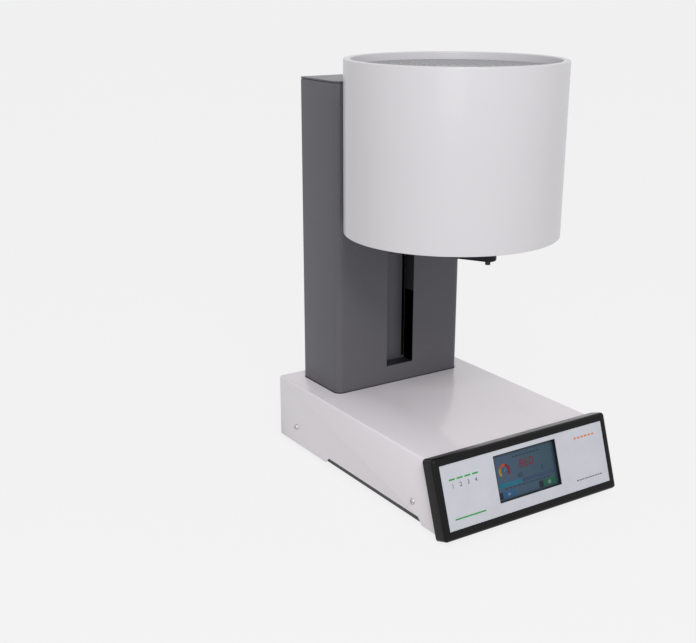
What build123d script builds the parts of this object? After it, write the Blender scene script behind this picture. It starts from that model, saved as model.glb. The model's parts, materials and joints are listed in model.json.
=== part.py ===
from build123d import *
import os
from math import cos, radians, sin, sqrt

os.makedirs("parts", exist_ok=True)

# Dental porcelain furnace: a low base with a tilted operating panel, a column that holds a fixed
# drum-shaped head, and a lift table that closes the head from below. Millimetres, +Z up, +X to
# the right seen from the front, front towards -Y. The origin is on the table, under the middle.

# Fits and gaps
seat_gap = 0.2          # between flat pieces of one body
run_gap = 0.05          # radial, shaft in bearing
move_gap = 1.0          # between bodies that pass each other
through = 5.0           # how far cutters run past the faces they cut

# Base housing
base_width = 250.0
base_top = 90.0
cover_sheet = 1.2
cover_bend = 3.0
floor_gap = 5.7         # skirt above the table
notch_bottom = 13.9     # raised middle of the skirt
step_run = 8.5          # slope between foot and notch, along Y
front_foot_back = 223.7  # ahead of the column's front
rear_foot_front = 12.5   # ahead of the column's front
base_behind = 104.0     # base's rear behind the column's front

# Bottom pan and feet
pan_sheet = 1.5
pan_bottom = 6.5
pan_flange_top = 40.0
pan_bend = 2.4
vent_length = 46.0
vent_width = 4.0
vent_pitch = 10.0
vent_count = 6
foot_radius = 11.0
foot_taper = 1.0
foot_bore = 3.4
foot_inset = 27.0       # foot's axis from the base's side
front_foot_axis = 228.0  # ahead of the column's front
rear_foot_axis = 70.0    # behind the column's front

# Side screws
screw_radius = 2.0
screw_head_radius = 4.0
screw_head_height = 2.2
side_screw_z = 29.2
front_screw_ahead = 204.7
rear_screw_behind = 62.0

# Operating panel, in the plane of the label
panel_tilt = 18.8       # degrees from vertical
label_width = 247.1
label_height = 74.8
label_top_ahead = 250.5  # label's top edge ahead of the column's front
label_thickness = 1.0
plate_thickness = 2.0
bezel_border = 8.45     # beside the label
bezel_above = 6.0
bezel_below = 10.6
bezel_proud = 0.8
bezel_depth = 19.5
bezel_round = 4.0
bezel_corner = 4.3
bezel_side_ledge = 8.0
bezel_bottom_ledge = 4.0
window_width = 95.2
window_height = 55.4
window_down = 5.6       # from the label's top edge
gasket_lip = 0.8
gasket_flange = 4.0
gasket_thickness = 1.2
display_width = 105.4
display_height = 65.0
display_thickness = 3.5
display_corner = 1.0
board_sheet = 1.6
display_board_width = 112.0
display_board_height = 60.0
display_board_gap = 3.0
connector_width = 56.0
connector_height = 20.0
socket_offset = 37.0    # cable socket's middle, right of the display's
cable_socket_width = 19.0

# Column
column_width = 196.6
column_depth = 83.0
column_height = 394.7   # above the base's top
column_round = 10.0
column_rear_round = 2.0
least_round = 0.5       # where a wall's inside corner would be sharp
column_sheet = 1.2
gasket_height = 0.8
gasket_width = 6.0
gasket_proud = 0.5
top_plate_sheet = 2.0
top_joint = 0.6         # dark joint under the top plate
top_plate_rim = 3.0
rear_cover_sheet = 1.5
rear_cover_drop = 14.0  # rear cover's top below the column's top
rear_window_border = 12.0
louvre_width = 60.0
louvre_offset = 40.0    # louvre's middle from the column's
louvre_height = 3.0
louvre_pitch = 10.0
louvre_count = 8
louvre_drop = 40.0

# Slot in the column's front
slot_width = 42.0
slot_sill = 24.0        # above the base's top
slot_depth = 20.0
channel_sheet = 1.0
channel_flange = 12.0
slit_width = 5.0
channel_head_gap = 3.5

# Head
head_radius = 129.5
head_sunk = 27.5        # how far the drum reaches behind the column's front
head_bottom = 222.6     # above the base's top
head_top = 423.5        # above the base's top
drum_sheet = 1.5
rim_width = 8.0
rim_round = 0.7
grille_recess = 9.0
grille_sheet = 1.2
collar_lip = 4.5
head_notch_gap = 1.5
drum_window = 61.0      # half width of the opening in the drum's back
drum_window_bottom = 7.0
drum_window_top = 98.0
base_plate_recess = 1.4
base_plate_thickness = 6.0
throat_radius = 48.0

# Grille holes
grille_hole = 4.0
grille_ring_pitch = 22.0
grille_rings = 4
grille_holes_per_ring = 8

# Firing chamber
muffle_inner = 45.0
muffle_outer = 50.0
chamber_height = 100.0
can_inset = 33.6        # inside the drum's outer face
can_sheet = 1.5
can_height = 152.0
coil_width = 2.4
coil_height = 3.2
coil_start = 24.0
coil_pitch = 13.0
coil_turns = 5
thermocouple_radius = 2.2
thermocouple_drop = 10.0
thermocouple_head = 7.0
blanket_inset = 19.5    # inside the drum's outer face
blanket_hole = 9.0
blanket_gap = 3.0       # under the grille

# Lift table
lift_travel = 170.0
plate_drop = 20.9       # lift plate's underside below the head's bottom
lift_plate_thickness = 8.0
lift_corner_reach = 70.4
lift_corner_round = 10.0
lift_edge = 1.0
tail_width = 33.6
tail_rear = 6.0         # ahead of the column's front
levelling_circle = 70.6
levelling_radius = 3.1
levelling_stub = 5.0
nut_radius = 5.5
nut_height = 4.0
flange_gap = 4.3        # between lift plate and table flange
flange_radius = 77.0
flange_thickness = 4.0
seal_outer = 66.0
seal_inner = 60.0
seal_squeeze_gap = 0.3
plinth_radius = 40.0
plinth_foot_radius = 43.0
plinth_foot_height = 10.0
plinth_height = 28.0
plinth_dish_radius = 36.0
plinth_dish = 1.5

# Arm and carriage
arm_sheet = 3.0
arm_bottom_drop = 2.7   # below the lift plate's underside
arm_back_top = 9.4      # rear web's top above the head's bottom
arm_mid_top = -3.6      # side plates' top under the head, from the head's bottom
arm_front_top = -11.6   # side plates' top beside the lift plate
arm_plate_gap = 6.8     # behind the lift plate's rear edge
arm_step_at = 21.0
carriage_front = 34.2   # behind the column's front
carriage_depth = 28.0
carriage_width = 88.0
carriage_height = 62.0
carriage_top = 13.4     # above the head's bottom
carriage_edge = 1.5
rod_radius = 5.0
rod_spacing = 64.0
screw_shaft_radius = 4.0
bushing_radius = 9.5
bushing_length = 29.0
nut_body_radius = 5.1
nut_body_length = 11.0
nut_flange_radius = 11.0
nut_flange_thickness = 3.5

# Spine, rod blocks and motor
spine_front = 55.0      # behind the column's front
spine_web = 72.0        # front of the web, behind the column's front
spine_sheet = 3.0
spine_width = 104.0
spine_top = 157.0       # above the head's bottom
spine_foot = 22.0
block_height = 14.0
block_gap = 5.0         # between the carriage at its ends and the blocks
block_width = 88.0
block_front = 36.0
bearing_radius = 11.0
bearing_height = 7.0
motor_side = 42.3
motor_height = 36.0
motor_chamfer = 5.0
motor_floor = 12.0      # solid part of the motor under its shaft
motor_shaft_radius = 2.5
motor_pan_gap = 2.0
motor_boss_radius = 11.0
motor_boss_height = 2.0
bracket_sheet = 3.0
bracket_tab = 12.0
coupler_radius = 9.5
coupler_height = 18.0
coupler_gap = 2.0
well_gap = 3.0          # around what passes through the base cover
sensor_width = 14.0
sensor_height = 12.0
sensor_gap = 3.0

# Head bracket
cheek_sheet = 4.0
cheek_front = -18.0     # from the column's front
cheek_flange = 9.0
cheek_wall_gap = 3.55   # between the cheek's flange and the drum's wall
cheek_height = 85.0
cheek_nose = 28.3       # the cheek's height at its front
cheek_hole = 11.0
cheek_hole_start = 5.5  # first hole's middle behind the cheek's
cheek_hole_up = 28.9    # above the cheek's lower edge
cheek_hole_step = 28.6
cheek_hole_rise = 17.0
wire_hole = 11.0        # radius, in the spine's web

# Rear panel and what is on it
rear_sheet = 1.5
rear_inset = 1.0
fan_margin = 11.0       # from the base's left side to the fan
inlet_margin = 26.0     # from the base's right side to the inlet
fan_side = 60.0
fan_corner = 5.0
fan_depth = 15.0
fan_z = 49.0
fan_duct = 28.5
fan_hub = 12.5
fan_blade_gap = 1.0
fan_blades = 7
fan_blade_pitch = 32.0  # degrees
fan_blade_sheet = 1.6
fan_shaft = 1.5
fan_boss_depth = 3.5
guard_rings = 3
guard_start = 8.0       # inner radius of the first ring slot
guard_slot = 4.2
guard_pitch = 7.0
guard_spoke = 4.0
spoke_sink = 1.0        # spokes of the fan's frame into its duct wall
inlet_z = 48.0
inlet_width = 30.0
inlet_height = 60.0
inlet_flange = 2.5
inlet_depth = 22.0
inlet_wall = 1.6
socket_width = 24.2
socket_height = 16.8
socket_depth = 17.0
socket_below = 12.0     # socket's centre below the inlet's centre
pin_width = 2.0
pin_height = 4.0
pin_tip = 2.0
pin_spacing = 7.0
pin_offset = 2.0
drawer_width = 21.0
drawer_height = 9.6
drawer_depth = 16.0
drawer_above = 13.0
drawer_face = 1.2
drawer_travel = 15.0
drawer_gap = 0.3
switch_z = 50.0
switch_width = 24.0
switch_height = 33.0
switch_flange = 2.0
switch_depth = 14.0
switch_wall = 1.5
rocker_radius = 12.4
rocker_width = 14.4
rocker_swing = 20.0     # degrees from off to on
rocker_pin = 1.5
rocker_pivot_in = 4.0
outlet_z = 48.0
outlet_width = 32.0
outlet_height = 40.0
outlet_depth = 20.0
outlet_core_gap = 3.0
nipple_z = 62.0
nipple_radius = 4.0
nipple_bore = 2.5
nipple_length = 18.0
nipple_hex = 7.0
nipple_hex_height = 4.0
barb_pitch = 4.0
barb_count = 3
barb_rise = 0.8
valve_width = 22.0
valve_height = 24.0
valve_coil_radius = 9.0
valve_coil_height = 24.0
valve_coil_round = 1.0

# Electronics on the pan
standoff_radius = 3.0
standoff_height = 10.0
control_width = 100.0
control_depth = 110.0
control_x = 58.0
control_ahead = 150.0
relay_side = 16.0
relay_height = 16.0
relay_spacing = 25.0
chip_width = 33.0
chip_depth = 24.0
chip_height = 2.0
chip_ahead = 24.0       # chip's middle ahead of the board's
terminal_length = 50.0
terminal_depth = 13.0
terminal_height = 8.0
terminal_behind = 43.0  # terminal strip's middle behind the board's
toroid_outer = 50.0
toroid_inner = 18.0
toroid_height = 44.0
toroid_round = 8.0
toroid_washer = 1.2
toroid_x = -62.0
toroid_ahead = 150.0
heatsink_width = 80.0
heatsink_depth = 50.0
heatsink_height = 36.0
heatsink_base = 5.0
heatsink_fins = 9
heatsink_fin = 1.8
heatsink_x = -70.0
heatsink_ahead = 40.0

# Places worked out from the sizes above
tilt_sin = sin(radians(panel_tilt))
tilt_cos = cos(radians(panel_tilt))
panel_ahead = label_top_ahead + label_height / 2 * tilt_sin
panel_z = base_top - label_height / 2 * tilt_cos
bezel_width = label_width + 2 * bezel_border
corner_v = label_height / 2 + bezel_below - bezel_round
front_reach = panel_ahead + corner_v * tilt_sin + (bezel_proud - bezel_round) * tilt_cos + bezel_round
rear_reach = base_behind + nipple_length
col_y = (front_reach - rear_reach) / 2   # the column's front face
base_rear = col_y + base_behind
head_y = col_y + head_sunk - head_radius
column_foot = base_top + gasket_height
column_top = base_top + column_height
shell_top = column_top - top_plate_sheet - top_joint
head_low = base_top + head_bottom
head_high = base_top + head_top
chamber_floor = head_low + base_plate_recess + base_plate_thickness
can_radius = head_radius - can_inset
insulation_radius = can_radius - can_sheet - seat_gap
plate_reach = lift_corner_reach + lift_corner_round / sin(radians(30))   # its sharp corners
plate_low = head_low - plate_drop
plate_high = plate_low + lift_plate_thickness
flange_low = plate_high + flange_gap
flange_high = flange_low + flange_thickness
arm_low = plate_low - arm_bottom_drop
carriage_high = head_low + carriage_top
carriage_low = carriage_high - carriage_height
rods_y = col_y + carriage_front + carriage_depth / 2
upper_block_low = carriage_high + block_gap
lower_block_high = carriage_low - nut_flange_thickness - lift_travel - block_gap
lower_block_low = lower_block_high - block_height
pan_floor = pan_bottom + pan_sheet
pan_half = base_width / 2 - cover_sheet - seat_gap
motor_low = pan_floor + motor_pan_gap
motor_high = motor_low + motor_height
web_y = col_y + spine_web
rear_y = base_rear - rear_inset
rear_inner_y = rear_y - rear_sheet
rear_row = [fan_side, valve_width, outlet_width, switch_width, inlet_width]
rear_free = base_width - fan_margin - inlet_margin - sum(rear_row)
rear_spacing = rear_free / (len(rear_row) - 1)   # between neighbours on the rear panel
fan_x = fan_margin - base_width / 2 + fan_side / 2
nipple_x = fan_x + (fan_side + valve_width) / 2 + rear_spacing
outlet_x = nipple_x + (valve_width + outlet_width) / 2 + rear_spacing
switch_x = outlet_x + (outlet_width + switch_width) / 2 + rear_spacing
inlet_x = switch_x + (switch_width + inlet_width) / 2 + rear_spacing
slot_low = base_top + slot_sill
channel_back = col_y + slot_depth
label_plane = Plane(
    origin=(0, col_y - panel_ahead, panel_z),
    x_dir=(1, 0, 0),
    z_dir=(0, -tilt_cos, tilt_sin),
)
bezel_back_w = bezel_proud - bezel_depth


def block(x0, x1, y0, y1, z0, z1):
    """Box between two opposite corners."""
    centre = Pos((x0 + x1) / 2, (y0 + y1) / 2, (z0 + z1) / 2)
    return centre * Box(x1 - x0, y1 - y0, z1 - z0)


def centred(x, width, y0, y1, z0, z1):
    """Box centred on x."""
    return block(x - width / 2, x + width / 2, y0, y1, z0, z1)


def disc(radius, z0, z1, x=0.0, y=0.0):
    """Upright cylinder between two heights."""
    return Pos(x, y, (z0 + z1) / 2) * Cylinder(radius, z1 - z0)


def ring(outer, inner, z0, z1, x=0.0, y=0.0):
    """Upright tube between two heights."""
    return disc(outer, z0, z1, x, y) - disc(inner, z0 - through, z1 + through, x, y)


def rod_y(radius, y0, y1, x, z):
    """Cylinder lying along Y."""
    return Pos(x, (y0 + y1) / 2, z) * Rot(90, 0, 0) * Cylinder(radius, y1 - y0)


def rod_x(radius, x0, x1, y, z):
    """Cylinder lying along X."""
    return Pos((x0 + x1) / 2, y, z) * Rot(0, 90, 0) * Cylinder(radius, x1 - x0)


def side_sheet(points, x0, x1):
    """Plate with an outline in the Y-Z plane, from x0 to x1."""
    outline = make_face(Polyline(*points, close=True))
    return Pos(x0, 0, 0) * extrude(Plane.YZ * outline, x1 - x0)


def both_sides(shape):
    """A shape and its mirror image across the middle."""
    return shape + mirror(shape, about=Plane.YZ)


def panel_box(u, v, w0, w1, width, height):
    """Box in the tilted panel's own axes: u across, v up the slope, w out of it."""
    return label_plane * Pos(u, v, (w0 + w1) / 2) * Box(width, height, w1 - w0)


def rounded_panel_box(u, v, w0, w1, width, height, radius):
    """The same with rounded corners seen from the front."""
    outline = RectangleRounded(width, height, radius)
    return label_plane * Pos(u, v, w0) * extrude(outline, w1 - w0)


def bezel_back_y(z):
    """Where the bezel's back plane is at a height."""
    slope_y = col_y - panel_ahead + (z - panel_z) * tilt_sin / tilt_cos
    return slope_y - bezel_back_w / tilt_cos


def ahead_of_bezel_back():
    """Everything in front of the bezel's back plane."""
    size = 2 * base_width
    return panel_box(0, 0, bezel_back_w - seat_gap, bezel_back_w + base_width, size, size)


# Base housing

def skirt_outline():
    return [
        (bezel_back_y(base_top), base_top),
        (bezel_back_y(floor_gap), floor_gap),
        (col_y - front_foot_back, floor_gap),
        (col_y - front_foot_back + step_run, notch_bottom),
        (col_y - rear_foot_front - step_run, notch_bottom),
        (col_y - rear_foot_front, floor_gap),
        (base_rear, floor_gap),
        (base_rear, base_top),
    ]


def rounded_trough(half, y0, y1, z0, z1, radius, upper):
    """Long block along Y whose two upper or lower long edges are rounded."""
    shape = block(-half, half, y0, y1, z0, z1)
    edges = shape.edges().filter_by(Axis.Y).group_by(Axis.Z)[-1 if upper else 0]
    return fillet(edges, radius)


def spine_well():
    """Opening in the base cover under the column."""
    half = spine_width / 2 + well_gap
    return block(
        -half, half,
        col_y + carriage_front - well_gap, web_y + spine_sheet + well_gap,
        base_top - through, base_top + through,
    )


def side_screw_places():
    return [col_y - front_screw_ahead, col_y + rear_screw_behind]


def screw_bores():
    bores = [
        rod_x(screw_radius + run_gap, -base_width, base_width, y, side_screw_z)
        for y in side_screw_places()
    ]
    return bores[0] + bores[1]


def base_cover():
    half = base_width / 2
    outer = side_sheet(skirt_outline(), -half, half)
    top_edges = outer.edges().filter_by(Axis.Y).group_by(Axis.Z)[-1]
    outer = fillet(top_edges, cover_bend)
    inner = rounded_trough(
        half - cover_sheet,
        col_y - front_reach - base_width, base_rear + through,
        -through, base_top - cover_sheet, cover_bend - cover_sheet, True,
    )
    return outer - inner - spine_well() - screw_bores()


def pan_vents(x):
    slots = []
    for i in range(vent_count):
        y = col_y - toroid_ahead + toroid_outer + (i + 1) * vent_pitch
        slots.append(
            centred(x, vent_length, y - vent_width / 2, y + vent_width / 2, 0, pan_floor + through)
        )
    return slots


def bottom_pan():
    front = col_y - front_reach
    rear = rear_inner_y - seat_gap
    outer = rounded_trough(pan_half, front, rear, pan_bottom, pan_flange_top, pan_bend, False)
    inner = rounded_trough(
        pan_half - pan_sheet, front - through, rear + through,
        pan_floor, pan_flange_top + through, pan_bend - pan_sheet, False,
    )
    pan = outer - inner - ahead_of_bezel_back() - screw_bores()
    for slot in pan_vents(0):
        pan -= slot
    return pan


def foot_places():
    x = base_width / 2 - foot_inset
    ys = [col_y - front_foot_axis, col_y + rear_foot_axis]
    return [(side * x, y) for side in (-1, 1) for y in ys]


def rubber_feet():
    feet = []
    for x, y in foot_places():
        foot = Pos(x, y, pan_bottom / 2) * Cone(foot_radius - foot_taper, foot_radius, pan_bottom)
        foot -= disc(foot_bore, -through, pan_bottom / 2, x, y)
        feet.append(foot)
    return Compound(children=feet)


def side_screws():
    screws = []
    half = base_width / 2
    for y in side_screw_places():
        shank = rod_x(screw_radius, half - 2 * screw_head_radius, half, y, side_screw_z)
        head = rod_x(screw_head_radius, half, half + screw_head_height, y, side_screw_z)
        head = fillet(head.edges().group_by(Axis.X)[-1], screw_head_height / 2)
        screws.append(shank + head)
    return Compound(children=screws + [mirror(s, about=Plane.YZ) for s in screws])


# Operating panel

def front_bezel():
    height = label_height + bezel_above + bezel_below
    v = (bezel_above - bezel_below) / 2
    frame = rounded_panel_box(
        0, v, bezel_back_w, bezel_proud, bezel_width, height, bezel_corner
    )
    front = frame.faces().sort_by(Axis((0, 0, 0), label_plane.z_dir))[-1]
    frame = fillet(front.edges(), bezel_round)
    pocket_floor = -label_thickness - plate_thickness
    frame -= panel_box(
        0, 0, pocket_floor - seat_gap, bezel_proud + through,
        label_width + 2 * seat_gap, label_height + 2 * seat_gap,
    )
    return frame - panel_box(
        0, bezel_bottom_ledge / 2, bezel_back_w - through, 0,
        label_width - 2 * bezel_side_ledge, label_height + 2 * seat_gap - bezel_bottom_ledge,
    )


def window_v():
    """The display window's centre, up the slope from the label's centre."""
    return label_height / 2 - window_down - window_height / 2


def label_plate():
    plate = panel_box(0, 0, -label_thickness, 0, label_width, label_height)
    return plate - panel_box(
        0, window_v(), -through, through, window_width, window_height
    )


def front_plate():
    back = -label_thickness - plate_thickness
    plate = panel_box(0, 0, back, -label_thickness, label_width, label_height)
    return plate - panel_box(
        0, window_v(), back - through, through, window_width, window_height
    )


def display_gasket():
    back = -label_thickness - plate_thickness
    lip = panel_box(
        0, window_v(), back - seat_gap - gasket_thickness, -label_thickness / 2,
        window_width - 2 * seat_gap, window_height - 2 * seat_gap,
    )
    flange = panel_box(
        0, window_v(), back - seat_gap - gasket_thickness, back - seat_gap,
        window_width + 2 * gasket_flange, window_height + 2 * gasket_flange,
    )
    opening = panel_box(
        0, window_v(), back - gasket_thickness - through, through,
        window_width - 2 * seat_gap - 2 * gasket_lip, window_height - 2 * seat_gap - 2 * gasket_lip,
    )
    return lip + flange - opening


def display_front_w():
    return -label_thickness - plate_thickness - gasket_thickness - 2 * seat_gap


def display_module():
    front = display_front_w()
    return rounded_panel_box(
        0, window_v(), front - display_thickness, front,
        display_width, display_height, display_corner,
    )


def display_board():
    top = display_front_w() - display_thickness - display_board_gap
    board = panel_box(
        0, window_v(), top - board_sheet, top, display_board_width, display_board_height
    )
    connector = panel_box(
        0, window_v(), top, top + display_board_gap - seat_gap, connector_width, connector_height
    )
    socket = panel_box(
        socket_offset, window_v(), top - board_sheet - display_board_gap, top,
        cable_socket_width, connector_height,
    )
    return board + connector + socket


# Column

def column_outline(grow=0.0):
    """Plan of the column: large rounds at the front, small ones at the rear."""
    width = column_width + 2 * grow
    depth = column_depth + 2 * grow
    plan = Pos(0, col_y + column_depth / 2) * Rectangle(width, depth)
    front = plan.vertices().group_by(Axis.Y)[0]
    plan = fillet(front, max(column_round + grow, least_round))
    rear = plan.vertices().group_by(Axis.Y)[-1]
    return fillet(rear, max(column_rear_round + grow, least_round))


def column_body(z0, z1, grow=0.0):
    return Pos(0, 0, z0) * extrude(column_outline(grow), z1 - z0)


def column_gasket():
    body = column_body(base_top, column_foot, gasket_proud)
    return body - column_body(base_top - through, column_foot + through, -gasket_width)


def head_notch(z0, z1):
    """Clearance around the drum where it sits in the column."""
    return disc(head_radius + head_notch_gap, z0, z1, 0, head_y)


def column_shell():
    shell = column_body(column_foot, shell_top)
    shell -= column_body(column_foot - through, shell_top + through, -column_sheet)
    shell -= head_notch(head_low - head_notch_gap, shell_top + through)
    shell -= centred(0, slot_width, col_y - through, col_y + through, slot_low, head_low)
    window = column_width / 2 - rear_window_border
    shell -= block(
        -window, window, col_y + column_depth - through, col_y + column_depth + through,
        column_foot + rear_window_border, column_top - rear_cover_drop - rear_window_border,
    )
    return shell


def column_top_plate():
    plate = column_body(column_top - top_plate_sheet, column_top)
    rim_low = shell_top - top_plate_rim
    rim = column_body(rim_low, column_top - top_plate_sheet / 2, -column_sheet - seat_gap)
    rim -= column_body(
        rim_low - through, column_top - top_plate_sheet, -column_sheet - top_plate_rim
    )
    plate += rim
    return plate - head_notch(rim_low - through, column_top + through)


def column_rear_cover():
    half = column_width / 2 - column_rear_round
    y = col_y + column_depth + seat_gap
    cover = block(-half, half, y, y + rear_cover_sheet, column_foot, column_top - rear_cover_drop)
    for i in range(louvre_count):
        z = column_top - rear_cover_drop - louvre_drop - i * louvre_pitch
        for x in (-louvre_offset, louvre_offset):
            cover -= centred(x, louvre_width, y - through, y + through, z, z + louvre_height)
    return cover


def slot_channel():
    half = slot_width / 2
    top = head_low - channel_head_gap
    front = col_y + column_sheet + seat_gap
    outer = block(
        -half - channel_sheet, half + channel_sheet, front, channel_back + channel_sheet,
        slot_low - channel_sheet, top,
    )
    flange_half = half + channel_flange
    flange = block(
        -flange_half, flange_half, front, front + channel_sheet,
        slot_low - channel_flange, top,
    )
    hollow = block(-half, half, col_y, channel_back, slot_low, top + through)
    channel = outer + flange - hollow
    slit_low = arm_low - lift_travel - 2 * move_gap
    for side in (-1, 1):
        x = side * (half - slit_width / 2)
        channel -= centred(
            x, slit_width, channel_back - through / 2, channel_back + through, slit_low, top + through
        )
    return channel


# Spine, rods and drive

def spine():
    half = spine_width / 2
    top = head_low + spine_top
    outer = block(-half, half, col_y + spine_front, web_y + spine_sheet, pan_floor, top)
    inner = block(
        -half + spine_sheet, half - spine_sheet, col_y + spine_front - through, web_y,
        pan_floor - through, top + through,
    )
    foot = block(-half, half, web_y, web_y + spine_foot, pan_floor, pan_floor + spine_sheet)
    body = outer - inner + foot
    for x in (-spine_width / 4, spine_width / 4):
        body -= disc(screw_radius, pan_floor - through, pan_floor + through, x, web_y + spine_foot / 2)
    return body - rod_y(wire_hole, web_y - through, web_y + through, 0, head_low + spine_top / 2)


def rod_places():
    return [-rod_spacing / 2, rod_spacing / 2]


def rod_block(z0, bearing_low):
    """Aluminium block with seats for both rods and the lead screw's bearing."""
    z1 = z0 + block_height
    body = block(-block_width / 2, block_width / 2, col_y + block_front, web_y - seat_gap, z0, z1)
    body = chamfer(body.edges().filter_by(Axis.Z), carriage_edge)
    for x in rod_places():
        body -= disc(rod_radius + run_gap, z0 - through, z1 + through, x, rods_y)
    body -= disc(screw_shaft_radius + move_gap, z0 - through, z1 + through, 0, rods_y)
    return body - disc(
        bearing_radius + run_gap, bearing_low, bearing_low + bearing_height + run_gap, 0, rods_y
    )


def lower_bearing_low():
    return lower_block_high - bearing_height


def upper_bearing_low():
    return upper_block_low


def rod_blocks():
    lower = rod_block(lower_block_low, lower_bearing_low())
    upper = rod_block(upper_block_low, upper_bearing_low())
    return Compound(children=[lower, upper])


def guide_rods():
    rods = [
        disc(rod_radius, lower_block_low, upper_block_low + block_height, x, rods_y)
        for x in rod_places()
    ]
    return Compound(children=rods)


def screw_bearings():
    bearings = [
        ring(bearing_radius, screw_shaft_radius + run_gap, z, z + bearing_height, 0, rods_y)
        for z in (lower_bearing_low(), upper_bearing_low())
    ]
    return Compound(children=bearings)


def coupler_low():
    return motor_high + bracket_sheet + coupler_gap


def coupler_high():
    return coupler_low() + coupler_height


def lead_screw():
    return disc(
        screw_shaft_radius, coupler_low() + coupler_height / 2 + seat_gap,
        upper_block_low + block_height, 0, rods_y,
    )


def shaft_coupler():
    low = coupler_low()
    middle = low + coupler_height / 2
    body = disc(coupler_radius, low, coupler_high(), 0, rods_y)
    body -= disc(motor_shaft_radius, low - through, middle, 0, rods_y)
    body -= disc(screw_shaft_radius, middle, coupler_high() + through, 0, rods_y)
    slit = centred(
        coupler_radius, coupler_radius, rods_y - coupler_radius, rods_y + coupler_radius,
        middle - move_gap / 2, middle + move_gap / 2,
    )
    return body - slit


def motor_shaft():
    return disc(
        motor_shaft_radius, motor_low + motor_floor, coupler_low() + coupler_height / 2, 0, rods_y
    )


def lift_motor():
    half = motor_side / 2
    body = block(-half, half, rods_y - half, rods_y + half, motor_low, motor_high)
    body = chamfer(body.edges().filter_by(Axis.Z), motor_chamfer)
    body += disc(motor_boss_radius, motor_high - through, motor_high + motor_boss_height, 0, rods_y)
    return body - disc(
        motor_shaft_radius + run_gap, motor_low + motor_floor - move_gap,
        motor_high + through, 0, rods_y,
    )


def motor_bracket():
    half = spine_width / 2 - spine_sheet - seat_gap
    low = motor_high + seat_gap
    high = low + bracket_sheet
    front = rods_y - motor_side / 2
    rear = web_y - seat_gap
    plate = block(-half, half, front, rear, low, high)
    tab = block(
        half - bracket_sheet, half, col_y + spine_front, rear, low, high + bracket_tab
    )
    plate += both_sides(tab)
    return plate - disc(motor_boss_radius + seat_gap, low - through, high + through, 0, rods_y)


def end_sensors():
    sensors = []
    for z in (carriage_high - sensor_height, carriage_high - lift_travel - sensor_height):
        sensors.append(
            centred(
                spine_width / 4, sensor_width,
                rods_y + carriage_depth / 2 + sensor_gap, web_y, z, z + sensor_height,
            )
        )
    return Compound(children=sensors)


# Moving table

def carriage():
    y0 = col_y + carriage_front
    half = carriage_width / 2
    body = block(-half, half, y0, y0 + carriage_depth, carriage_low, carriage_high)
    body = chamfer(body.edges().filter_by(Axis.Z), carriage_edge)
    for x in rod_places():
        body -= disc(
            bushing_radius + run_gap, carriage_low - through, carriage_high + through, x, rods_y
        )
    return body - disc(
        nut_body_radius + run_gap, carriage_low - through, carriage_high + through, 0, rods_y
    )


def linear_bushings():
    bushings = []
    for x in rod_places():
        for z in (carriage_low, carriage_high - bushing_length):
            bushings.append(
                ring(bushing_radius, rod_radius + run_gap, z, z + bushing_length, x, rods_y)
            )
    return Compound(children=bushings)


def lift_nut():
    body = disc(nut_body_radius, carriage_low - nut_flange_thickness,
                carriage_low + nut_body_length, 0, rods_y)
    body += disc(nut_flange_radius, carriage_low - nut_flange_thickness, carriage_low, 0, rods_y)
    return body - disc(
        screw_shaft_radius + run_gap, carriage_low - through - nut_flange_thickness,
        carriage_high, 0, rods_y,
    )


def arm_bracket():
    """Folded fork: two side plates through the slits, joined by a web on the carriage."""
    half = tail_width / 2 + seat_gap + arm_sheet
    web_front = col_y + carriage_front - seat_gap - arm_sheet
    rear = web_front + arm_sheet
    arm_front = head_y + plate_reach / 2 + arm_plate_gap
    back_top = head_low + arm_back_top
    mid_top = head_low + arm_mid_top
    front_top = head_low + arm_front_top
    outline = [
        (rear, arm_low),
        (rear, back_top),
        (web_front, back_top),
        (web_front, mid_top),
        (col_y - arm_step_at, mid_top),
        (col_y - arm_step_at - arm_sheet, front_top),
        (arm_front, front_top),
        (arm_front, plate_low),
        (col_y - arm_step_at, arm_low),
    ]
    side = side_sheet(outline, half - arm_sheet, half)
    web = block(-half, half, web_front, rear, arm_low, back_top)
    return both_sides(side) + web


def lift_plate():
    plan = Pos(0, head_y) * RegularPolygon(plate_reach, 3, rotation=-90)
    plan = fillet(plan.vertices(), lift_corner_round)
    tail_front = head_y
    tail_back = col_y - tail_rear
    plan += Pos(0, (tail_front + tail_back) / 2) * Rectangle(tail_width, tail_back - tail_front)
    plate = Pos(0, 0, plate_low) * extrude(plan, lift_plate_thickness)
    plate = chamfer(plate.edges().group_by(Axis.Z)[0], lift_edge)
    for x, y in levelling_places():
        plate -= disc(levelling_radius + run_gap, plate_low - through, plate_high + through, x, y)
    return plate


def levelling_places():
    angles = [radians(-90 + 120 * i) for i in range(3)]
    return [(levelling_circle * cos(a), head_y + levelling_circle * sin(a)) for a in angles]


def levelling_screws():
    screws = []
    for x, y in levelling_places():
        low = plate_low - levelling_stub
        shank = disc(levelling_radius, low, flange_low, x, y)
        hexagon = Pos(x, y, plate_high) * extrude(RegularPolygon(nut_radius, 6), nut_height)
        socket = Pos(x, y, low) * extrude(RegularPolygon(levelling_radius / 2, 6), levelling_radius)
        screws.append(shank + hexagon - socket)
    return Compound(children=screws)


def table_flange():
    flange = disc(flange_radius, flange_low, flange_high, 0, head_y)
    return chamfer(flange.edges().group_by(Axis.Z)[-1], flange_thickness / 4)


def table_seal():
    top = head_low + base_plate_recess - seal_squeeze_gap
    seal = ring(seal_outer, seal_inner, flange_high, top, 0, head_y)
    return fillet(seal.edges().group_by(Axis.Z)[-1], (seal_outer - seal_inner) / 4)


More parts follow.
